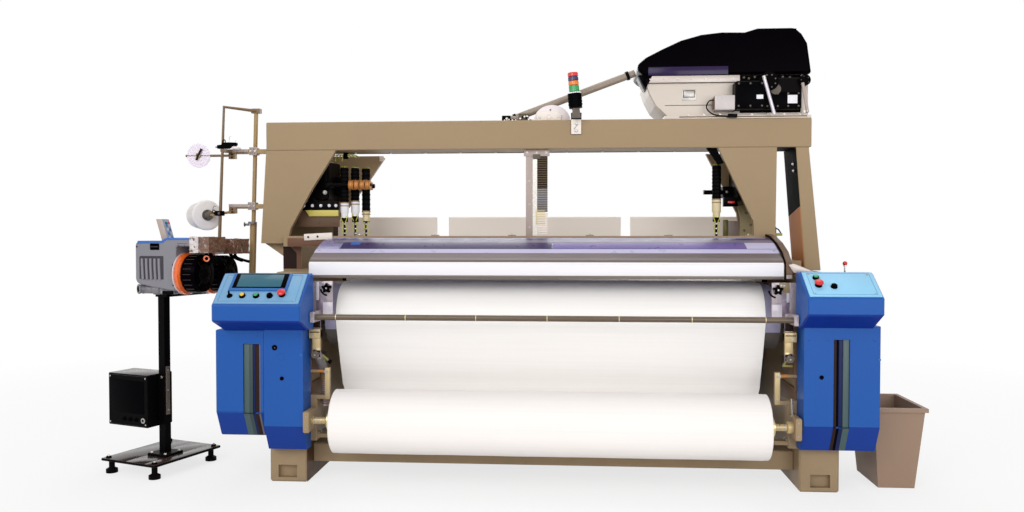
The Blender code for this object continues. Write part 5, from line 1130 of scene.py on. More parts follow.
def makeLeftPortal():
    # On the left gear: its black bar with the yellow strip, plates, rollers and bolts.
    piece = Piece("leftPortalTrim")
    piece.box("blackSteel", (-1.34, 0.524, 1.313), (-1.135, 0.5305, 1.357), 0.002)
    for x in (-1.325, -1.278, -1.232, -1.186, -1.15):
        piece.bolt((x, 0.524, 1.337), toFront, 0.0065, "whitePaint")
    piece.prism("limeTape", "y", [(-1.296, 1.28), (-1.137, 1.28), (-1.137, 1.3128), (-1.318, 1.3128)], 0.5245,
            0.53, 0.001)
    piece.box("brownPaint", (-1.371, 0.54, 1.224), (-1.137, 0.552, 1.3148), 0.002)
    for x in (-1.35, -1.25, -1.155):
        piece.bolt((x, 0.54, 1.246), toFront, 0.006, "brownPaint")
    piece.box("darkBrown", (-1.17, 0.5415, 1.172), (-1.145, 0.5515, 1.226), 0.001)
    # Painted shade on the column's foot and on the hinge bar: brown sheets, with the dark edge between them.
    piece.prism("darkBrown", "y", [(-1.43, 1.0), (-1.357, 1.0), (-1.357, 1.084), (-1.4, 1.128),
            (-1.43, 1.128)], 0.4985, 0.5005, 0)
    piece.prism("brownRed", "y", [(-1.357, 1.0), (-1.332, 1.0), (-1.332, 1.128), (-1.4, 1.128),
            (-1.357, 1.084)], 0.498, 0.5005, 0)
    piece.box("brownRed", (-1.378, 0.413, 1.121), (-1.13, 0.415, 1.164), 0.0004)
    # Painted shade: the inner side of the left foot is dark brown.
    piece.prism("oliveBrown", "x", [(0.003, 0.002), (0.428, 0.002), (0.436, 0.11), (0.436, 0.196),
            (0.003, 0.196)], -1.1503, -1.149, 0)
    for x, z in ((-1.385, 1.55), (-1.33, 1.56), (-1.27, 1.55), (-1.385, 1.47), (-1.3, 1.44), (-1.22, 1.55),
                 (-1.22, 1.41), (-1.35, 1.39)):
        piece.bolt((x, 0.5597, z), toFront, 0.0085, "boltZinc")
    piece.box("castGrey", (-1.372, 0.549, 1.48), (-1.3, 0.5605, 1.52), 0.003)
    piece.box("blackPlastic", (-1.262, 0.535, 1.43), (-1.206, 0.5605, 1.53), 0.006)
    for number in range(4):
        x = -1.1205 + number * 0.035
        piece.lathe("rustOrange", [(0, 0.0185), (0, 0.0216), (0.004, 0.0226), (0.008, 0.02), (0.015, 0.02),
                (0.019, 0.0226), (0.023, 0.0216), (0.023, 0.0185)], (x, 0.7017, 1.45), toRight, 24)
    # Harness cords from the top of the gear.
    for number in range(5):
        x = -1.19 + number * 0.018
        points = [(x, 0.6, 1.58), (x + 0.012, 0.58, 1.606), (x + 0.05, 0.575, 1.612),
                  (x + 0.085, 0.585, 1.598)]
        piece.tube("wireYellow" if number % 2 else "clipGreen", points, 0.0028, 8, 4)
    piece.box("blackPlastic", (-1.122, 0.57, 1.59), (-1.098, 0.6, 1.6247), 0.003)
    piece.box("paleBeige", (-0.975, 0.794, 1.595), (-0.95, 0.8006, 1.6247), 0.002)
    # Golden rollers on a black arm from the gear block, in front of the sleeves.
    piece.box("blackSteel", (-1.205, 0.508, 1.434), (-1.17, 0.562, 1.458), 0.003)
    piece.rod("blackSteel", (-1.18, 0.51, 1.446), (-0.952, 0.51, 1.446), 0.0085, 18)
    for number in range(4):
        x = -1.073 + number * 0.03
        piece.lathe("rustOrange", [(0, 0.02), (0, 0.0255), (0.003, 0.0272), (0.007, 0.024), (0.018, 0.024),
                (0.022, 0.0272), (0.025, 0.0255), (0.025, 0.02)], (x, 0.51, 1.446), toRight, 32)
    return piece.done()


def makeRightPortal():
    # On the right gear: cream blocks, the red tipped arm, the plates under it and the bracket outside.
    piece = Piece("rightPortalTrim")
    for x, z, wide, look in ((0.972, 1.52, 0.026, "paleBeige"), (0.99, 1.485, 0.03, "cream"),
                             (0.98, 1.44, 0.024, "paleBeige"), (1.004, 1.4, 0.03, "paleBeige")):
        piece.box(look, (x, 0.547, z), (x + wide, 0.5605, z + 0.022), 0.003)
        piece.bolt((x + wide / 2, 0.547, z + 0.011), toFront, 0.0048)
    piece.box("blackPlastic", (0.9672, 0.54, 1.368), (1.08, 0.5605, 1.392), 0.003)
    piece.box("blackPlastic", (0.905, 0.592, 1.332), (0.979, 0.6005, 1.352), 0.003)
    piece.box("redPlastic", (0.925, 0.5885, 1.346), (0.962, 0.5935, 1.358), 0.002)
    piece.lathe("boltZinc", [(0, 0.009), (0.006, 0.009), (0.008, 0.006)], (0.937, 0.69, 1.41), toFront, 6)
    piece.box("darkPlate", (0.8165, 0.695, 1.422), (0.8185, 0.728, 1.398), 0)
    # Rear plate's pale cream bracket, the grey panel and the olive post beside it.
    piece.prism("cream", "y", [(1.011, 1.338), (1.05, 1.344), (1.113, 1.257), (1.113, 1.174), (1.027, 1.174),
            (1.027, 1.273)], 0.7905, 0.7998, 0.002)
    for x, z in ((1.05, 1.205), (1.085, 1.235), (1.06, 1.3)):
        piece.bolt((x, 0.7905, z), toFront, 0.0055)
    piece.box("pinkGrey", (0.963, 0.7925, 1.174), (1.022, 0.7995, 1.257), 0.002)
    piece.box("olive", (0.936, 0.789, 1.174), (0.963, 0.7995, 1.264), 0.002)
    piece.box("greyPlastic", (0.936, 0.7985, 1.166), (1.113, 0.801, 1.176), 0)
    # Outside the column: a black and yellow catch with a red lamp over it.
    piece.box("rubber", (1.1402, 0.5, 1.172), (1.156, 0.53, 1.222), 0.002)
    piece.box("clipGreen", (1.15, 0.497, 1.176), (1.186, 0.5035, 1.19), 0.002)
    piece.tube("blackPlastic", [(1.152, 0.505, 1.215), (1.166, 0.502, 1.208), (1.178, 0.5, 1.19)], 0.0032, 8)
    piece.ball("redPlastic", (1.1475, 0.512, 1.2285), 0.0075, 14)
    piece.box("paleBeige", (1.1402, 0.52, 1.168), (1.1425, 0.6, 1.25), 0.001)
    return piece.done()


def makePostFace():
    # The raking post's inner face, painted shade: black above a slanted shadow edge, orange-brown below it.
    lean = 0.08
    top = 1.6245
    turn = Matrix(((1, 0, -lean, 1.238 + lean * top), (0, 1, 0, 0), (0, 0, 1, 0), (0, 0, 0, 1)))
    piece = Piece("postFacePaintedShade", "root", turn)
    piece.prism("rubber", "x", [(0.453, top), (0.697, top), (0.697, 1.28), (0.453, 1.326)], -0.0012,
            0.0002, 0)
    piece.prism("orangeBrown", "x", [(0.453, 1.325), (0.697, 1.279), (0.697, 1.004), (0.453, 1.004)], -0.001,
            0.0002, 0)
    for y, z in ((0.52, 1.545), (0.52, 1.51)):
        piece.bolt((-0.0012, y, z), toLeft, 0.0075)
    piece.done()
    # Painted shadow: black sheets on the gantry's underside and in the corner under it further in.
    under = Piece("gantryUndersideShadow")
    under.box("rubber", (1.1405, 0.453, 1.6232), (1.2375, 0.667, 1.6249), 0)
    under.prism("rubber", "y", [(0.792, 1.6249), (0.843, 1.6249), (0.883, 1.548), (0.853, 1.538)], 0.466,
            0.474, 0.001)
    return under.done()


makeLeftPortal()
makeRightPortal()
makePostFace()
print("lifting gear and columns are dressed")

# Signal lamp, pulley guard, and the tube with its chain that drives the dobby.

lampFacts = {"base": (0.13, 0.424, 1.798), "lean": (-0.09, 0, 1),
             "tiers": ((0.19, 0.2115, "lampRed"), (0.168, 0.19, "lampBlue"), (0.146, 0.168, "amber"),
                       (0.113, 0.146, "lampGreen"))}


def makeLamp():
    piece = Piece("lampTrim", "root", Matrix.Translation(lampFacts["base"]) @ turnTo(lampFacts["lean"]))

    def turned(look, profile, sides=32):
        piece.lathe(look, profile, (0, 0, 0), upward, sides)

    for low, high, look in lampFacts["tiers"]:
        turned(look, [(low + 0.0004, 0.0238), (low + 0.002, 0.0252), (high - 0.002, 0.0252),
                (high - 0.0004, 0.0238)])
        for a in around(20):  # ribs of the lens
            x, y = 0.025 * cos(a), 0.025 * sin(a)
            piece.rod(look, (x, y, low + 0.002), (x, y, high - 0.002), 0.0011, 6)
    turned("lampRed", [(0.2114, 0.024), (0.2135, 0.018), (0.2145, 0.008), (0.2146, 0)])
    turned("whitePaint", [(0.103, 0.0355), (0.104, 0.0368), (0.1085, 0.0335), (0.1125, 0.0265)])
    for d in (0.045, 0.06, 0.075, 0.09):
        turned("blackPlastic", [(d, 0.0345), (d + 0.001, 0.0366), (d + 0.006, 0.0368), (d + 0.007, 0.0345)])
    turned("brownPaint", [(0.0085, 0.0168), (0.009, 0.0185), (0.028, 0.019), (0.0285, 0.0172)], 28)
    piece.done()
    plate = Piece("lampBracket")
    plate.box("paleBeige", (0.104, 0.4422, 1.698), (0.156, 0.444, 1.7735), 0.001)
    plate.prism("greyPlastic", "y", [(0.106, 1.774), (0.154, 1.774), (0.146, 1.826), (0.112, 1.826)], 0.396,
            0.404, 0.002)
    plate.tube("grooveDark", [(0.118, 0.442, 1.722), (0.128, 0.4418, 1.736), (0.141, 0.442, 1.748)],
            0.0012, 8, 4)
    for z in (1.715, 1.752):
        plate.bolt((0.13, 0.4422, z), toFront, 0.0075)
    return plate.done()


def makeTubeDrive():
    piece = Piece("tubeDrive")
    # White half disc with its rim, and the pale box in front of it.
    piece.prism("softWhite", "y",
            [(0.004 + 0.0955 * cos(a),
            1.7738 + 0.0835 * sin(a)) for a in [pi * step / 24 for step in range(25)]], 0.5035,
            0.5052, 0.0006)
    piece.prism("paleBeige", "y", [(-0.075, 1.7736), (0.052, 1.7736), (0.052, 1.806), (0.035, 1.818),
            (-0.06, 1.818), (-0.075, 1.808)], 0.488, 0.5038, 0.002)
    for x in (-0.06, 0.038):
        piece.bolt((x, 0.488, 1.792), toFront, 0.0055)
    piece.lathe("paleBeige", [(0, 0.013), (0.003, 0.013), (0.003, 0.01), (0.001, 0.0095), (0.001, 0.0)],
            (-0.012, 0.488, 1.796), toFront, 28)
    piece.lathe("greyPlastic", [(0, 0.0045), (0.002, 0.0045), (0.002, 0.0)], (-0.004, 0.5035, 1.832),
            toFront, 14)
    # Chain, ratchet wheel and clamp at the tube's foot.
    piece.box("rubber", (-0.2615, 0.5425, 1.7736), (-0.215, 0.607, 1.8105), 0.003)
    piece.box("oliveDark", (-0.172, 0.525, 1.7736), (-0.118, 0.56, 1.818), 0.003)
    piece.box("greyPlastic", (-0.166, 0.522, 1.782), (-0.14, 0.5256, 1.806), 0.001)
    piece.bolt((-0.128, 0.525, 1.8), toFront, 0.006)
    for x, z, size in ((-0.245, 1.776, 0.009), (-0.222, 1.782, 0.007), (-0.204, 1.776, 0.01),
                       (-0.186, 1.78, 0.007)):
        piece.lathe("blackSteel", [(0, size), (0.012, size), (0.014, size * 0.7)], (x, 0.52, z + size * 0.6),
                (0, 1, 0), 18)
        piece.lathe("boltZinc", [(0.0, size * 0.55), (0.002, size * 0.5)], (x, 0.52, z + size * 0.6),
                toFront, 12)
    for step in range(8):
        x, z = -0.162 + step * 0.011, 1.79 + 0.01 * sin(step * 0.9)
        piece.lathe("blackSteel" if step % 2 else "boltZinc", [(0, 0.005), (0.01, 0.005)], (x, 0.512, z),
                (0, 1, 0), 12)
        piece.box("greyPlastic", (x - 0.005, 0.514, z - 0.003), (x + 0.007, 0.52, z + 0.003), 0.001)
    piece.box("blackPlastic", (-0.165, 0.508, 1.7736), (-0.075, 0.53, 1.781), 0.002)
    piece.bolt((-0.235, 0.5425, 1.792), toFront, 0.006)
    # Clamp rings on the tube.
    along = Vector((0.65, 0, 0.237)).normalized()
    for share in (0.02, 0.93):
        spot = Vector((-0.213, 0.575, 1.793)) + Vector((0.65, 0, 0.237)) * share
        piece.lathe("blackSteel", [(0, 0.0192), (0, 0.0235), (0.016, 0.0235), (0.016, 0.0192)], spot,
                along, 24)
    return piece.done()


makeLamp()
makeTubeDrive()
print("signal lamp and tube drive are dressed")

# Weft feeders on their stand. Their places are counted from the stand's pole, turned with it.

station = Matrix.Translation((-1.94, 0.19, 0))
pairTurn = station @ Matrix.Rotation(radians(-8), 4, "Z")
standTurn = station @ Matrix.Rotation(radians(-20), 4, "Z")
feeders = {"front": 0.07, "drum": 0.0962,
           "pair": ((0.055, 0.0, 0.987), (0.061, 0.222, 0.977))}


def crumple(piece, look, low, high, size, seed):
    # A box wrapped in film: its sides are pushed in and out in small flat creases.
    part = bmesh.new()
    bmesh.ops.create_cube(part, size=1.0)
    bmesh.ops.subdivide_edges(part, edges=part.edges[:], cuts=14, use_grid_fill=True)
    low, high = Vector(low), Vector(high)
    for corner in part.verts:
        spot = corner.co + Vector((0.5, 0.5, 0.5))
        spot = Vector([a + (b - a) * t for a, b, t in zip(low, high, spot)])
        broad = noise.noise(spot * 30 + Vector((seed, 0, 0)))
        pull = broad + 0.7 * noise.noise(spot * 75 + Vector((0, seed, 0)))
        middle = (low + high) / 2
        corner.co = spot - (spot - middle).normalized() * size * (1 + pull)
    piece.add(part, look)


def makeFeederTrim(number):
    x0, y0, axis = feeders["pair"][number]
    face, zb = y0 - feeders["front"], axis + 0.025
    piece = Piece("feeder%dTrim" % (number + 1), "root", pairTurn)
    # Blue edge over the top, from the low part up to the raised one.
    piece.prism("bandBlue", "y", [(x0 - 0.1545, zb + 0.124), (x0 - 0.15, zb + 0.1395),
            (x0 - 0.018, zb + 0.1395), (x0 + 0.008, zb + 0.1545), (x0 + 0.1365, zb + 0.1545),
            (x0 + 0.1365, zb + 0.144), (x0 + 0.012, zb + 0.143), (x0 - 0.012, zb + 0.128),
            (x0 - 0.148, zb + 0.1245)], face - 0.0014, y0 + 0.0714, 0.0015)
    piece.box("glossBlack", (x0 - 0.08, face - 0.005, zb + 0.094), (x0 - 0.03, face + 0.001, zb + 0.126),
            0.003)
    piece.box("grooveDark", (x0 - 0.076, face - 0.0056, zb + 0.108), (x0 - 0.034, face - 0.004, zb + 0.112),
            0.0004)
    # Dark cooling slots with rounded ribs between them.
    piece.box("grooveDark", (x0 - 0.138, face - 0.0008, zb - 0.052), (x0 - 0.008, face + 0.0066, zb + 0.064),
            0.0005)
    for rib in range(5):
        x = x0 - 0.1255 + rib * 0.0232
        piece.tube("feederGrey", [(x, face - 0.001, zb + 0.052), (x + 0.001, face - 0.0016, zb + 0.01),
                (x + 0.004, face - 0.001, zb - 0.052 - rib * 0.0006)], 0.007, 12, 4)
    piece.box("grooveDark", (x0 - 0.131, face - 0.0008, zb - 0.08 + 0.036),
            (x0 - 0.118, face + 0.0005, zb - 0.034), 0)
    piece.box("grooveDark", (x0 + 0.068, face - 0.0007, zb + 0.124), (x0 + 0.124, face + 0.0004, zb + 0.1262),
            0)
    for x in (x0 + 0.075, x0 + 0.108):
        piece.lathe("grooveDark", [(-0.0004, 0.0026), (0.0009, 0.0026)], (x, face, zb + 0.1165), toFront, 12)
    for x, z in ((x0 - 0.155, zb + 0.11), (x0 + 0.045, zb + 0.02), (x0 + 0.045, zb - 0.08)):
        piece.lathe("blackSteel", [(-0.0004, 0.0042), (0.0012, 0.0042), (0.0012, 0.0022), (0.0002, 0.002)],
                (x, face, z), toFront, 14)
    # Pale rim behind the winding disc, the black drum with its pins, and its brush ring.
    piece.lathe("softWhite", [(0, 0.06), (0, 0.1035), (0.003, 0.104), (0.0036, 0.102), (0.0036, 0.06)],
            (x0 + 0.0602, y0, axis), toRight, 48)
    drum = (x0 + 0.1018, y0, axis)
    piece.lathe("glossBlack", [(-0.0008, 0.04), (-0.0008, 0.094), (0.0006, feeders["drum"]),
            (0.058, feeders["drum"]), (0.07, 0.09), (0.0716, 0.085), (0.0716, 0.0)], drum, toRight, 48)
    for a in around(22):
        spot = Vector(drum) + Vector((0.01, 0.0965 * cos(a), 0.0965 * sin(a)))
        piece.rod("darkPlate", spot, spot + Vector((0.044, 0, 0)), 0.0012, 6)
    piece.lathe("blackSteel", [(0.0712, 0.0), (0.0712, 0.05), (0.0745, 0.05), (0.076, 0.044), (0.076, 0.0)],
            drum, toRight, 36)
    piece.lathe("rubber", [(0.0755, 0.0), (0.0755, 0.024), (0.08, 0.022), (0.0805, 0.0)], drum, toRight, 28)
    for a in around(4, pi / 4):  # arms of the drum's face
        out = Vector((0, cos(a), sin(a)))
        start = Vector(drum) + Vector((0.0735, 0, 0))
        piece.rod("blackSteel", start + out * 0.04, start + out * 0.082, 0.0035, 8)
    # Film-wrapped brake unit over the arm, its guide ring and the dark horns under it.
    end = x0 + (0.248 if number else 0.246)
    crumple(piece, "wrapBrown", (x0 + 0.14, y0 - 0.078, zb + 0.079), (end, y0 + 0.078, zb + 0.16), 0.0042,
            3.0 + number)
    crumple(piece, "wrapPale", (x0 + 0.1385, y0 - 0.0795, zb + 0.0785),
            (x0 + 0.188, y0 + 0.0795, zb + 0.1615), 0.004, 7.0)
    for way, z, size in ((-0.022, 0.0565, 0.0085), (0.024, 0.048, 0.0075)):
        piece.tube("rubber", [(x0 + 0.19, y0 + way, zb + 0.088), (x0 + 0.2, y0 + way, zb + z + 0.014),
                (x0 + 0.232, y0 + way * 1.3, zb + z), (x0 + 0.268, y0 + way * 1.6, zb + z - 0.01)], size, 12)
    if number == 0:
        ring = (x0 + 0.205, y0 - 0.034, zb + 0.052)
        piece.lathe("orange", [(0, 0.0085), (-0.002, 0.0105), (0, 0.015), (0.004, 0.016), (0.008, 0.014),
                (0.008, 0.0085)], ring, (0.55, -0.8, 0), 32)
        piece.lathe("rubber", [(0.0, 0.0), (-0.003, 0.0), (0.0, 0.0096), (0.007, 0.0096), (0.0095, 0.008),
                (0.0095, 0.0)], ring, (0.55, -0.8, 0), 24)
    # Hollow grip, the casting round it, and the dark clamp plate on the stand's arm.
    left = x0 - 0.15
    piece.lathe("castGrey", [(0.018, 0.0232), (0, 0.0255), (-0.002, 0.025), (-0.0026, 0.02)],
            (left, y0 - 0.03, 0.9103), toRight, 32)
    piece.lathe("rubber", [(-0.0016, 0.0), (-0.0016, 0.019), (-0.0024, 0.02)], (left, y0 - 0.03, 0.9103),
            toRight, 28)
    # The nozzle's open end looks to the front left.
    nozzle, out = (left + 0.012, y0 - 0.04, 0.9103), (-0.62, -0.78, 0)
    piece.lathe("castGrey", [(0, 0.0215), (0.018, 0.0215), (0.02, 0.024), (0.027, 0.0245), (0.029, 0.0225),
            (0.029, 0.0165), (0.014, 0.016)], nozzle, out, 32)
    piece.lathe("rubber", [(0.012, 0.0), (0.012, 0.0165), (0.0285, 0.016), (0.02, 0.015), (0.02, 0.0)],
            nozzle, out, 28)
    piece.lathe("castGrey", [(0.018, 0.0236), (0.06, 0.0236), (0.066, 0.029), (0.1, 0.03), (0.104, 0.027)],
            (left, y0 - 0.03, 0.9103), toRight, 32)
    piece.box("castGrey", (x0 - 0.0465, y0 - 0.052, 0.89), (x0 + 0.02, y0 + 0.0515, 0.905), 0.003)
    piece.bolt((x0 - 0.03, y0 - 0.052, 0.8975), toFront, 0.0045)
    piece.box("blackSteel", (x0 - 0.026, y0 - 0.056, 0.886), (x0 + 0.0345, y0 - 0.0505, 0.903), 0.002)
    return piece.done()


for number in (0, 1):
    makeFeederTrim(number)


def makeKeypad():
    # The keypad leans back: beige case, grey-blue face with soft keys and a red lamp.
    x0, y0, axis = feeders["pair"][0]
    low, lean = axis + 0.155, 0.3
    tilt = Matrix(((1, 0, -lean, x0 + lean * low), (0, 1, 0, 0), (0, 0, 1, 0), (0, 0, 0, 1)))
    piece = Piece("keypadFace", "root", pairTurn @ tilt)
    piece.box("pinkGrey", (-0.0284, -0.0462, low + 0.004), (0.006, -0.044, low + 0.1155), 0.0008)
    piece.box("pinkGrey", (-0.0285, -0.0462, low + 0.1145), (0.0085, 0.0056, low + 0.1168), 0.0008)
    piece.box("keypadBlue", (0.0074, -0.044, low + 0.004), (0.0096, 0.0044, low + 0.1135), 0.0008)
    for row in range(4):
        for column in range(2):
            y, z = -0.034 + column * 0.02, low + 0.02 + row * 0.02
            piece.box("bezelBlue" if (row + column) % 2 else "motorPale", (0.0092, y, z),
                    (0.0108, y + 0.012, z + 0.011), 0.0006)
    piece.box("screenGlass", (0.0092, -0.036, low + 0.099 - 0.006), (0.0106, -0.016, low + 0.1035), 0.0004)
    piece.lathe("redPlastic", [(0, 0.0062), (0.002, 0.006), (0.003, 0.004), (0.0032, 0)],
            (0.0094, -0.004, low + 0.0985), toRight, 18)
    return piece.done()


makeKeypad()


def makeStandTrim():
    # Control box lid, seams, connectors and vents, then collar, pole and base.
    piece = Piece("standTrim", "root", standTurn)
    left, right, front, back, top = -0.284, -0.0198, -0.094, 0.069, 0.481
    piece.box("darkPlate", (left + 0.002, front + 0.002, top - 0.0006),
            (right - 0.002, back - 0.002, top + 0.0022), 0.001)
    for z in (0.2255, 0.4745):
        piece.box("grooveDark", (left + 0.003, front - 0.0009, z),
                (right - 0.003, front + 0.0005, z + 0.0012), 0)
    piece.box("blackPlastic", (left + 0.022, front - 0.002, 0.286), (right - 0.022, front + 0.0008, 0.452),
            0.0012)
    for x in (left + 0.012, right - 0.012):
        for z in (0.235, 0.466):
            piece.lathe("boltZinc", [(-0.0004, 0.0042), (0.0014, 0.0042), (0.0022, 0.003)], (x, front, z),
                    toFront, 14)
    for x in (-0.045, -0.095, -0.135, -0.175):
        size, look = (0.0135, "boltZinc") if x == -0.045 else (0.01, "rubber")
        piece.lathe(look, [(-0.0004, size), (0.005, size), (0.006, size * 0.8), (0.006, size * 0.55),
                (0.002, size * 0.5)], (x, front, 0.256), toFront, 24)
        piece.lathe("blackPlastic", [(0.0018, size * 0.5), (0.003, size * 0.45)], (x, front, 0.256),
                toFront, 18)
    for row in range(9):
        z = 0.3 + row * 0.014
        piece.box("rubber", (right - 0.0004, -0.06, z), (right + 0.0008, 0.04, z + 0.005), 0)
    # Pole: screw, cable clip plate beside it and the collar's bolts.
    piece.lathe("boltZinc", [(-0.0004, 0.007), (0.003, 0.007), (0.004, 0.005)], (0, -0.0195, 0.466),
            toFront, 18)
    piece.box("greyPlastic", (0.0193, -0.012, 0.276), (0.0235, 0.012, 0.52), 0.001)
    for z in (0.3, 0.4, 0.5):
        piece.bolt((0.0235, 0, z), toRight, 0.0042)
    for x in (-0.045, 0.045):
        for y in (-0.045, 0.045):
            piece.bolt((x, y, 0.086), upward, 0.0065, "boltZinc")
    for x0, x1, y0, y1 in ((-0.223, -0.0615, -0.193, 0.248), (0.0615, 0.128, -0.193, 0.248),
                           (-0.06, 0.06, -0.193, -0.0615), (-0.06, 0.06, 0.0615, 0.248)):
        piece.box("darkPlate", (x0, y0, 0.0737), (x1, y1, 0.0752), 0.0006)
    for x in (-0.2, 0.105):
        for y in (-0.17, 0.225):
            piece.lathe("rubber", [(0, 0.013), (0.006, 0.013), (0.008, 0.009)], (x, y, 0.0748), upward, 20)
            piece.bolt((x, y, 0.082), upward, 0.006, "boltZinc", False)
    return piece.done()


makeStandTrim()
print("feeders and their stand are dressed")

# Dobby: flange, nameplate left bare, lever gear and motor on its front.

dobby = {"flange": (0.4795, 0.964, 1.964, 1.9985, 0.492), "face": 0.5, "plate": (0.673, 0.744, 1.871, 1.93),
         "bigDisc": (1.095, 0.4117, 1.952, 0.047), "smallDisc": (1.27, 0.4097, 1.955, 0.028),
         "fan": (1.13, 0.4297, 1.914), "motor": ((0.828, 0.4147, 1.812), (0.935, 0.4897, 1.883))}


def makeDobbyTrim():
    piece = Piece("dobbyTrim")
    left, right, low, high, front = dobby["flange"]
    piece.box("flangeSilver", (left, front - 0.0016, low), (right, front + 0.0005, high), 0.0006)
    piece.box("grooveDark", (left, front - 0.0012, low - 0.0036), (right, front + 0.0005, low - 0.0004), 0)
    for number in range(7):
        piece.bolt((left + 0.03 + number * 0.07, front - 0.0016, 1.9815), toFront, 0.0042)
    # Gloss skirt under the cover's nose, and the seam of the cover.
    piece.prism("glossBlack", "y", [(0.4485, 2.004), (0.522, 2.004), (0.512, 1.98), (0.487, 1.934),
            (0.468, 1.966)], 0.4885, 0.64, 0.002)
    piece.box("rubber", (0.486, 0.4895, 1.9982), (1.3085, 0.493, 2.0012), 0)
    # A painted purple sheen on the cover's lower front, where its gloss shows it.
    piece.box("paintedPurpleSheen", (0.5, 0.4868, 2.002), (0.905, 0.4884, 2.044), 0.0006)
    piece.box("darkBrown", (1.055, 0.52, 2.235), (1.255, 0.82, 2.2372), 0.0008)
    # Dark recess behind the gearbox, with cable ends in it.
    face = dobby["face"]
    piece.box("rubber", (0.966, face - 0.0012, 1.806), (1.272, face + 0.0004, 1.998), 0.0004)
    for x, z in ((0.985, 1.985), (1.01, 1.98), (1.04, 1.987), (1.18, 1.986), (1.215, 1.982)):
        piece.lathe("greyPlastic", [(0, 0.006), (0.01, 0.006), (0.012, 0.004)], (x, face - 0.001, z),
                toFront, 14)
    # Bare plate with its frame and rivets.
    a, b, c, d = dobby["plate"]
    piece.box("plateLabel", (a, face - 0.002, c), (b, face + 0.0004, d), 0.0008)
    piece.box("darkPlate", (a + 0.006, face - 0.0026, c + 0.016), (b - 0.006, face - 0.0014, d - 0.006),
            0.0004)
    piece.box("plateLabel", (a + 0.01, face - 0.0032, c + 0.02), (b - 0.01, face - 0.002, d - 0.01), 0.0004)
    for x in (a + 0.004, b - 0.004):
        for z in (c + 0.004, d - 0.004):
            piece.lathe("boltZinc", [(0.001, 0.0018), (0.003, 0.0014)], (x, face, z), toFront, 10)
    piece.box("greyStrip", (0.586, face - 0.0016, 1.8462), (0.84, face + 0.0006, 1.85), 0.0004)
    piece.box("castDark", (0.655, 0.4584, 1.78), (1.295, 0.4606, 1.7852), 0.0004)
    for number in range(8):
        piece.bolt((0.7 + number * 0.08, 0.46, 1.7925), toFront, 0.004)
    piece.box("silverPaint", (1.2735, face - 0.0022, 1.79), (1.3085, face + 0.0004, 1.99), 0.001)
    for z in (1.81, 1.97):
        piece.bolt((1.291, face - 0.0022, z), toFront, 0.0048)
    # Gearbox: cover plates with their screws.
    low = 1.821
    for left, right, front, top, screws in ((0.934, 1.069, 0.4083, 1.949, 3), (1.08, 1.254, 0.4283, 1.9, 4)):
        piece.box("blackPlastic", (left, front, low), (right, front + 0.0017, top), 0.001)
        for step in range(screws):
            x = left + 0.01 + (right - left - 0.02) * step / (screws - 1)
            for z in (low + 0.008, top - 0.008):
                piece.bolt((x, front, z), toFront, 0.0038, "greyPlastic")
    piece.box("whitePaint", (1.032, 0.4074, 1.863), (1.065, 0.4086, 1.884), 0.0004)
    piece.box("whitePaint", (1.19, 0.4274, 1.842), (1.238, 0.4286, 1.884), 0.0004)
    for (x, y, z, radius), screws in ((dobby["bigDisc"], 8), (dobby["smallDisc"], 5)):
        piece.lathe("blackPlastic", [(-0.0006, radius * 1.012), (0.0014, radius * 1.012),
                (0.002, radius * 0.95), (0.001, radius * 0.88), (0.001, radius * 0.46),
                (0.004, radius * 0.42), (0.0046, 0.0)], (x, y, z), toFront, 44)
        for a in around(screws, pi / screws):
            piece.lathe("greyPlastic", [(0.0008, radius * 0.085), (0.0028, radius * 0.085),
                    (0.0034, radius * 0.06)], (x + radius * 0.69 * cos(a), y, z + radius * 0.69 * sin(a)),
                    toFront, 6)
    x, y, z = dobby["fan"]
    piece.lathe("greyPlastic", [(-0.0006, 0.0205), (-0.0006, 0.0265), (0.004, 0.027), (0.005, 0.025),
            (0.004, 0.0205)], (x, y, z), toFront, 36)
    piece.lathe("greyPlastic", [(-0.0006, 0.0085), (0.0035, 0.008), (0.0042, 0.005), (0.0042, 0.0)],
            (x, y, z), toFront, 24)
    for a in around(6, 0.3):
        piece.rod("greyPlastic", (x + 0.007 * cos(a), y - 0.0016, z + 0.007 * sin(a)),
                (x + 0.0215 * cos(a), y - 0.0016, z + 0.0215 * sin(a)), 0.0014, 8)
    # The two hand levers, pale over black.
    piece.rod("leverPale", (1.0655, 0.4057, 1.9775), (1.1203, 0.4057, 1.7835), 0.0088, 18)
    piece.bolt((1.067, 0.397, 1.968), toFront, 0.0045)
    piece.rod("pinkGrey", (1.2578, 0.4077, 1.941), (1.2823, 0.4077, 1.7985), 0.0078, 18)
    piece.ball("boltZinc", (1.2823, 0.4077, 1.7985), 0.0086, 16)
    # Motor: ribbed pale body, end cap and a dark plug.
    (x0, y0, z0), (x1, y1, z1) = dobby["motor"]
    piece.box("motorPale", (x0 - 0.0012, y0 - 0.0014, z0 - 0.001), (x1 - 0.008, y1, z1 + 0.0014), 0.003)
    for rib in range(8):
        x = x0 + 0.01 + rib * 0.0112
        piece.box("motorPale", (x, y0 - 0.003, z0 + 0.004), (x + 0.0042, y0 - 0.001, z1 - 0.004), 0.0008)
    piece.box("blackPlastic", (x1 - 0.0085, y0 - 0.003, z0 - 0.002), (x1 - 0.001, y1, z1 + 0.0025), 0.0015)
    piece.box("castDark", (x0 - 0.003, y0 + 0.004, z0 + 0.006), (x0 + 0.0006, y1 - 0.004, z1 - 0.006), 0.001)
    return piece.done()


makeDobbyTrim()
print("dobby is dressed")

# Yarn stand: pale arms, clamps, the eyelet on the guide rod and the holder of the cone.

yarnStand = {"front": 0.518, "arms": (1.64, 1.346), "left": -1.7345, "right": -1.624,
             "disc": (-1.904, 0.534, 1.608), "guideY": 0.453}


def loopAt(x, y, z, wide, high):
    # A closed loop of wire, seen from the front.
    return [(x + wide * cos(a), y, z + high * sin(a)) for a in [*around(10), 2 * pi]]


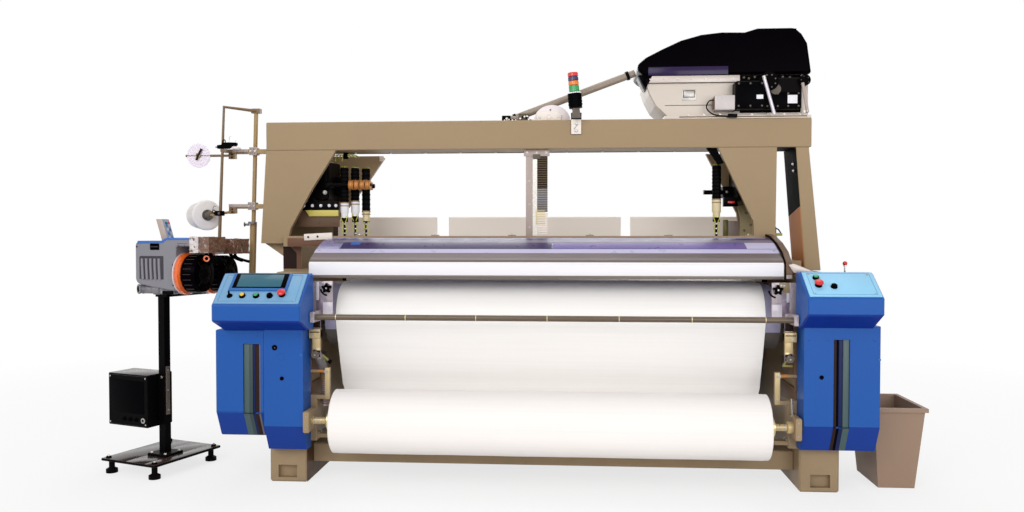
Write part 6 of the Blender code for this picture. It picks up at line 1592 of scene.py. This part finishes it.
def yarnPole(z):
    # The pole's middle at a height; it leans a little.
    return -1.592 - 0.033 * (1.835 - z) / 1.015


def makeYarnStandTrim():
    piece = Piece("yarnStandTrim")
    front, left, right = yarnStand["front"], yarnStand["left"], yarnStand["right"]
    for top in yarnStand["arms"]:
        piece.box("pinkGrey", (left, front - 0.0016, top - 0.0155), (right, front + 0.0004, top + 0.0004),
                0.0006)
        piece.box("rodBrown", (left + 0.04, front - 0.001, top - 0.0236),
                (right - 0.004, front + 0.0004, top - 0.016), 0.0004)
        x = yarnPole(top)
        piece.box("pinkGrey", (x - 0.0208, front - 0.004, top - 0.032),
                (x + 0.0208, front + 0.0004, top + 0.0105), 0.0012)
        for way in (-0.013, 0.013):
            piece.bolt((x + way, front - 0.004, top - 0.01), toFront, 0.0042)
        piece.box("rodBrown", (left + 0.001, front - 0.0014, top - 0.052),
                (left + 0.034, front + 0.0004, top - 0.017), 0.0006)
        for z in (top - 0.043, top - 0.027):
            piece.lathe("rubber", [(0, 0.0044), (0.0022, 0.0044), (0.0022, 0.003), (0.0012, 0.0028)],
                    (left + 0.02, front - 0.0004, z), toFront, 16)
    # Collar and knob at the top of the pole's sleeve.
    x = yarnPole(1.245)
    piece.lathe("castGrey", [(-0.006, 0.0225), (0.004, 0.023), (0.006, 0.019)], (x, 0.534, 1.246),
            (0.0325, 0, 1), 28)
    piece.rod("castGrey", (x - 0.012, 0.524, 1.236), (x - 0.031, 0.515, 1.236), 0.0062, 16)
    piece.star("greyPlastic", (x - 0.028, 0.516, 1.236), (-0.9, -0.4, 0), 0.0125, 0.012)
    # Black eyelet clamp on the guide rod, with its loop, hook and ceramic disc.
    y = yarnStand["guideY"]
    piece.prism("rubber", "y", [(-1.765, 1.637), (-1.705, 1.637), (-1.69, 1.647), (-1.661, 1.655),
            (-1.661, 1.668), (-1.7, 1.67), (-1.738, 1.668), (-1.742, 1.658), (-1.765, 1.655)], y - 0.014,
            y + 0.014, 0.002)
    piece.rod("rubber", (-1.778, y, 1.646), (-1.764, y, 1.646), 0.003, 10)
    piece.tube("rubber", loopAt(-1.727, y - 0.01, 1.674, 0.007, 0.0095), 0.0026, 10, 3)
    piece.tube("steelWire", [(-1.699, y - 0.006, 1.666), (-1.7, y - 0.007, 1.684), (-1.697, y - 0.008, 1.698),
            (-1.69, y - 0.008, 1.703)], 0.002, 10, 4)
    piece.tube("steelWire", [(-1.668, y, 1.666), (-1.669, y, 1.674), (-1.667, y, 1.681)], 0.0018, 8, 3)
    piece.rod("rubber", (-1.666, y - 0.004, 1.645), (-1.666, y - 0.004, 1.657), 0.005, 14)
    piece.lathe("softWhite", [(0, 0.0), (0, 0.02), (0.004, 0.024), (0.009, 0.024), (0.014, 0.018),
            (0.0145, 0.0)], (-1.664, y - 0.004, 1.633), (0.1, 0, 1), 36)
    # Cone holder: a clamp round the guide rod and its black pin.
    piece.box("rubber", (-1.776, y - 0.015, 1.282), (-1.736, y + 0.015, 1.308), 0.003)
    piece.tube("rubber", [(-1.77, y, 1.295), (-1.788, y + 0.001, 1.293), (-1.802, 0.455, 1.289)],
            0.0088, 12, 4)
    piece.tube("rubber", loopAt(-1.786, y - 0.01, 1.303, 0.008, 0.009), 0.0024, 8, 3)
    piece.tube("castGrey", [(-1.792, y - 0.008, 1.308), (-1.79, y - 0.009, 1.324), (-1.781, y - 0.01, 1.334),
            (-1.774, y - 0.01, 1.33)], 0.0016, 8, 4)
    piece.bolt((-1.756, y - 0.015, 1.295), toFront, 0.0055, "greyPlastic")
    # The disc's pin, hub and clip.
    x, y, z = yarnStand["disc"]
    piece.rod("rodBrown", (x - 0.0728, y, z), (-1.735, y, z), 0.0066, 16)
    piece.lathe("tanPaint", [(-0.001, 0.014), (0.008, 0.014), (0.011, 0.011), (0.0112, 0.0)],
            (x, y - 0.006, z), toFront, 20)
    piece.lathe("darkBrown", [(0.0108, 0.007), (0.0135, 0.007), (0.0145, 0.005), (0.0145, 0.0)],
            (x, y - 0.006, z), toFront, 16)
    piece.rod("darkBrown", (x - 0.009, y - 0.015, z - 0.023), (x + 0.02, y - 0.015, z + 0.036), 0.006, 14)
    for ring in (0.03, 0.046, 0.06):
        piece.lathe("discWhite", [(-0.0004, ring), (0.001, ring), (0.001, ring - 0.0016),
                (-0.0004, ring - 0.0016)], (x, y - 0.006, z), toFront, 40)
    return piece.done()


makeYarnStandTrim()


def makeGuidePost():
    # The harness guide: pale flat bar, dark comb with its teeth, and the bracket that holds it.
    piece = Piece("guidePostTrim")
    piece.box("pinkGrey", (-0.1314, 0.4906, 1.17), (-0.096, 0.4924, 1.62), 0.0006)
    piece.box("darkBrown", (-0.0725, 0.4908, 1.42), (-0.0186, 0.4924, 1.61), 0.0004)
    piece.box("castGrey", (-0.0725, 0.4908, 1.3), (-0.0186, 0.4924, 1.4196), 0.0004)
    piece.box("cream", (-0.08, 0.4896, 1.235), (-0.03, 0.4924, 1.31), 0.002)
    piece.box("paleBeige", (-0.0725, 0.4908, 1.17), (-0.0186, 0.4924, 1.29), 0.0004)
    for number in range(35):
        z = 1.182 + number * 0.012
        look = "oliveDark" if z > 1.415 else "greyPlastic" if z > 1.3 else "paleBeige"
        piece.box(look, (-0.0715, 0.4884, z), (-0.0178, 0.4912, z + 0.0052), 0.0006)
    piece.box("pinkGrey", (-0.142, 0.487, 1.59), (-0.008, 0.4912, 1.6236), 0.0012)
    piece.box("greyPlastic", (-0.095, 0.483, 1.576), (-0.056, 0.4905, 1.6), 0.002)
    for x in (-0.125, -0.075, -0.025):
        piece.bolt((x, 0.487, 1.608), toFront, 0.0055)
    for z in (1.22, 1.34, 1.46):
        piece.bolt((-0.1136, 0.4906, z), toFront, 0.0045)
    return piece.done()


makeGuidePost()


def makeUnderGantry():
    # Painted shadow in the gap along the gantry's underside, and bolts along it.
    piece = Piece("gantryStrips")
    piece.box("darkBrown", (-1.13, 0.64, 1.6228), (1.12, 0.652, 1.6249), 0)
    for number in range(12):
        x = -1.06 + number * 0.19
        piece.bolt((x, 0.6, 1.6249), (0, 0, -1), 0.0065)
    return piece.done()


makeUnderGantry()
print("yarn stand and guide post are dressed")

# Cloth and warp: thin webs along their paths, each in the place of its plain solid.

clothWeb = {"path": [(0.388, 0.947), (0.3, 0.947)]
            + [(0.205 + 0.157 * cos(radians(a)), 0.79 + 0.157 * sin(radians(a))) for a in range(90, 201, 11)]
            + [(0.094, 0.641), (0.13, 0.545), (0.166, 0.45), (0.1675, 0.375), (0.134, 0.2865),
               (0.059, 0.225)],
            "edges": (-1.02, 1.005), "drawnIn": (-0.985, 0.982), "drawTop": 0.45, "drawLow": 0.315,
            "flat": (2.025, 1.058), "thick": 0.0022, "ripple": 0.0012}
warpWeb = {"path": [(0.65, 0.9638), (0.8, 0.971), (0.97, 0.9794), (1.14, 0.9877)]
           + [(1.14 + 0.0527 * sin(radians(a)),
               0.935 + 0.0527 * cos(radians(a))) for a in (18, 36, 54, 72, 90)]
           + [(1.189, 0.79), (1.185, 0.645), (1.1815, 0.5)],
           "edges": (-0.99, 0.99), "drawnIn": (-0.99, 0.99), "drawTop": 0.5, "drawLow": 0.4,
           "flat": (1.98, 1.009), "thick": 0.0018, "ripple": 0.0004}


def makeWeb(name, facts, look, node):
    path = [(spot.y, spot.z) for spot in curvePath([(0, y, z) for y, z in facts["path"]], 4)]
    columns = 64
    part = bmesh.new()
    layers = ([], [])
    for number, (y, z) in enumerate(path):
        before, after = path[max(number - 1, 0)], path[min(number + 1, len(path) - 1)]
        along = Vector((after[0] - before[0], after[1] - before[1])).normalized()
        share = min(1.0, max(0.0, (facts["drawTop"] - z) / (facts["drawTop"] - facts["drawLow"])))
        low, high = [edge + (drawn - edge) * share for edge, drawn in zip(facts["edges"], facts["drawnIn"])]
        loose = sin(pi * number / (len(path) - 1))
        for layer, side in zip(layers, (-1, 1)):
            row = []
            for column in range(columns + 1):
                x = low + (high - low) * column / columns
                wave = facts["ripple"] * loose * (sin(9 * x + 3 * z) * 0.5 + sin(23 * x + 5 * y) * 0.3)
                # The selvedges are a little thicker.
                edge = max(0.0, 1 - min(column, columns - column) / 2) * 0.0004
                lift = wave + side * (facts["thick"] / 2 + edge)
                row.append(part.verts.new((x, y - along.y * lift, z + along.x * lift)))
            layer.append(row)
    under, over = layers
    last = len(path) - 1
    for number in range(last):
        for column in range(columns):
            for layer in layers:
                part.faces.new((layer[number][column], layer[number][column + 1],
                                layer[number + 1][column + 1],
                                layer[number + 1][column]))
        for column in (0, columns):
            part.faces.new((under[number][column], over[number][column], over[number + 1][column],
                            under[number + 1][column]))
    for number in (0, last):
        for column in range(columns):
            part.faces.new((under[number][column], over[number][column], over[number][column + 1],
                            under[number][column + 1]))
    piece = Piece(name)
    piece.add(part, look)
    web = piece.done([node])
    return web


makeWeb("clothWeb", clothWeb, "wovenCloth", "cloth_sheet")
makeWeb("warpWeb", warpWeb, "warpYarn", "warp_sheet")

roll = {"y": -0.08, "z": 0.315, "left": -0.985, "right": 0.982, "radius": 0.1474, "shaft": 0.016,
        "reach": 1.1492}


def makeWoundCloth():
    # The wound body, a little uneven as cloth is when wound, on its golden shaft.
    piece = Piece("woundCloth", "cloth_roll")
    sides, columns = 96, 70
    part = bmesh.new()
    rings = []
    for column in range(columns + 1):
        x = roll["left"] + 0.0005 + (roll["right"] - roll["left"] - 0.001) * column / columns
        rounding = 0.0016 if column in (0, columns) else 0.0
        ring = []
        for a in around(sides):
            swell = 0.0003 * sin(11 * x + 2 * a) + 0.0002 * sin(29 * x - 3 * a)
            reach = roll["radius"] - rounding + swell
            ring.append(part.verts.new((x, roll["y"] + reach * cos(a), roll["z"] + reach * sin(a))))
        rings.append(ring)
    bridge(part, rings)
    piece.add(part, "woundCloth")
    for side, face in ((-1, roll["left"]), (1, roll["right"])):
        start = (face, roll["y"], roll["z"])
        piece.lathe("brass", [(-0.001, 0.0415), (0.033, 0.0415), (0.034, 0.0395), (0.034, 0.0165)], start,
                (side, 0, 0), 36)
        piece.lathe("goldenTan", [(0, roll["shaft"]), (roll["reach"] - abs(face), roll["shaft"])], start,
                (side, 0, 0), 28)
    return piece.done(["cloth_roll"])


makeWoundCloth()
print("cloth, warp and wound cloth are made")

cone = {"joint": (-1.807, 0.4555, 1.286), "length": 0.175}


def makeYarnCone():
    # Yarn in crossed layers on its paper cone; its nose sits on the holder's pin.
    along = Vector((1, -1, 0)).normalized()
    start = Vector(cone["joint"]) - along * (cone["length"] + 0.0003)
    piece = Piece("yarnCone")
    profile = [(0.0005, 0.0), (0.0005, 0.06), (0.002, 0.0645)]
    ridges = 34
    for ridge in range(ridges):
        t = ridge / ridges
        reach = 0.068 + 0.0135 * t
        profile += [(0.004 + 0.116 * t, reach - 0.0007), (0.004 + 0.116 * (t + 0.5 / ridges), reach)]
    profile += [(0.1215, 0.0812), (0.1265, 0.079), (0.1285, 0.0745)]
    # The end face shows the layers as shallow rings down to the cone.
    for ring in range(9):
        profile += [(0.1292 - 0.0006 * (ring % 2), 0.0725 - ring * 0.0046)]
    profile += [(0.1285, 0.029), (0.1285, 0.0)]
    piece.lathe("woundCloth", profile, start, along, 64)
    piece.lathe("darkPlate", [(0.128, 0.0), (0.128, 0.03), (0.133, 0.03), (0.15, 0.024), (0.151, 0.0215)],
            start, along, 32)
    piece.lathe("greyPlastic", [(0.1505, 0.022), (0.164, 0.016), (0.1748, 0.0118), (0.1748, 0.0)], start,
            along, 32)
    for a in (0.4, 2.5, 4.6):  # slots round the nose
        out = Vector(upward) * cos(a) + along.cross(Vector(upward)) * sin(a)
        spot = start + along * 0.14 + out * 0.0268
        piece.rod("rubber", spot, spot + along * 0.012 + out * -0.0012, 0.0022, 8)
    return piece.done(["yarn_cone"])


makeYarnCone()
print("yarn cone is made")
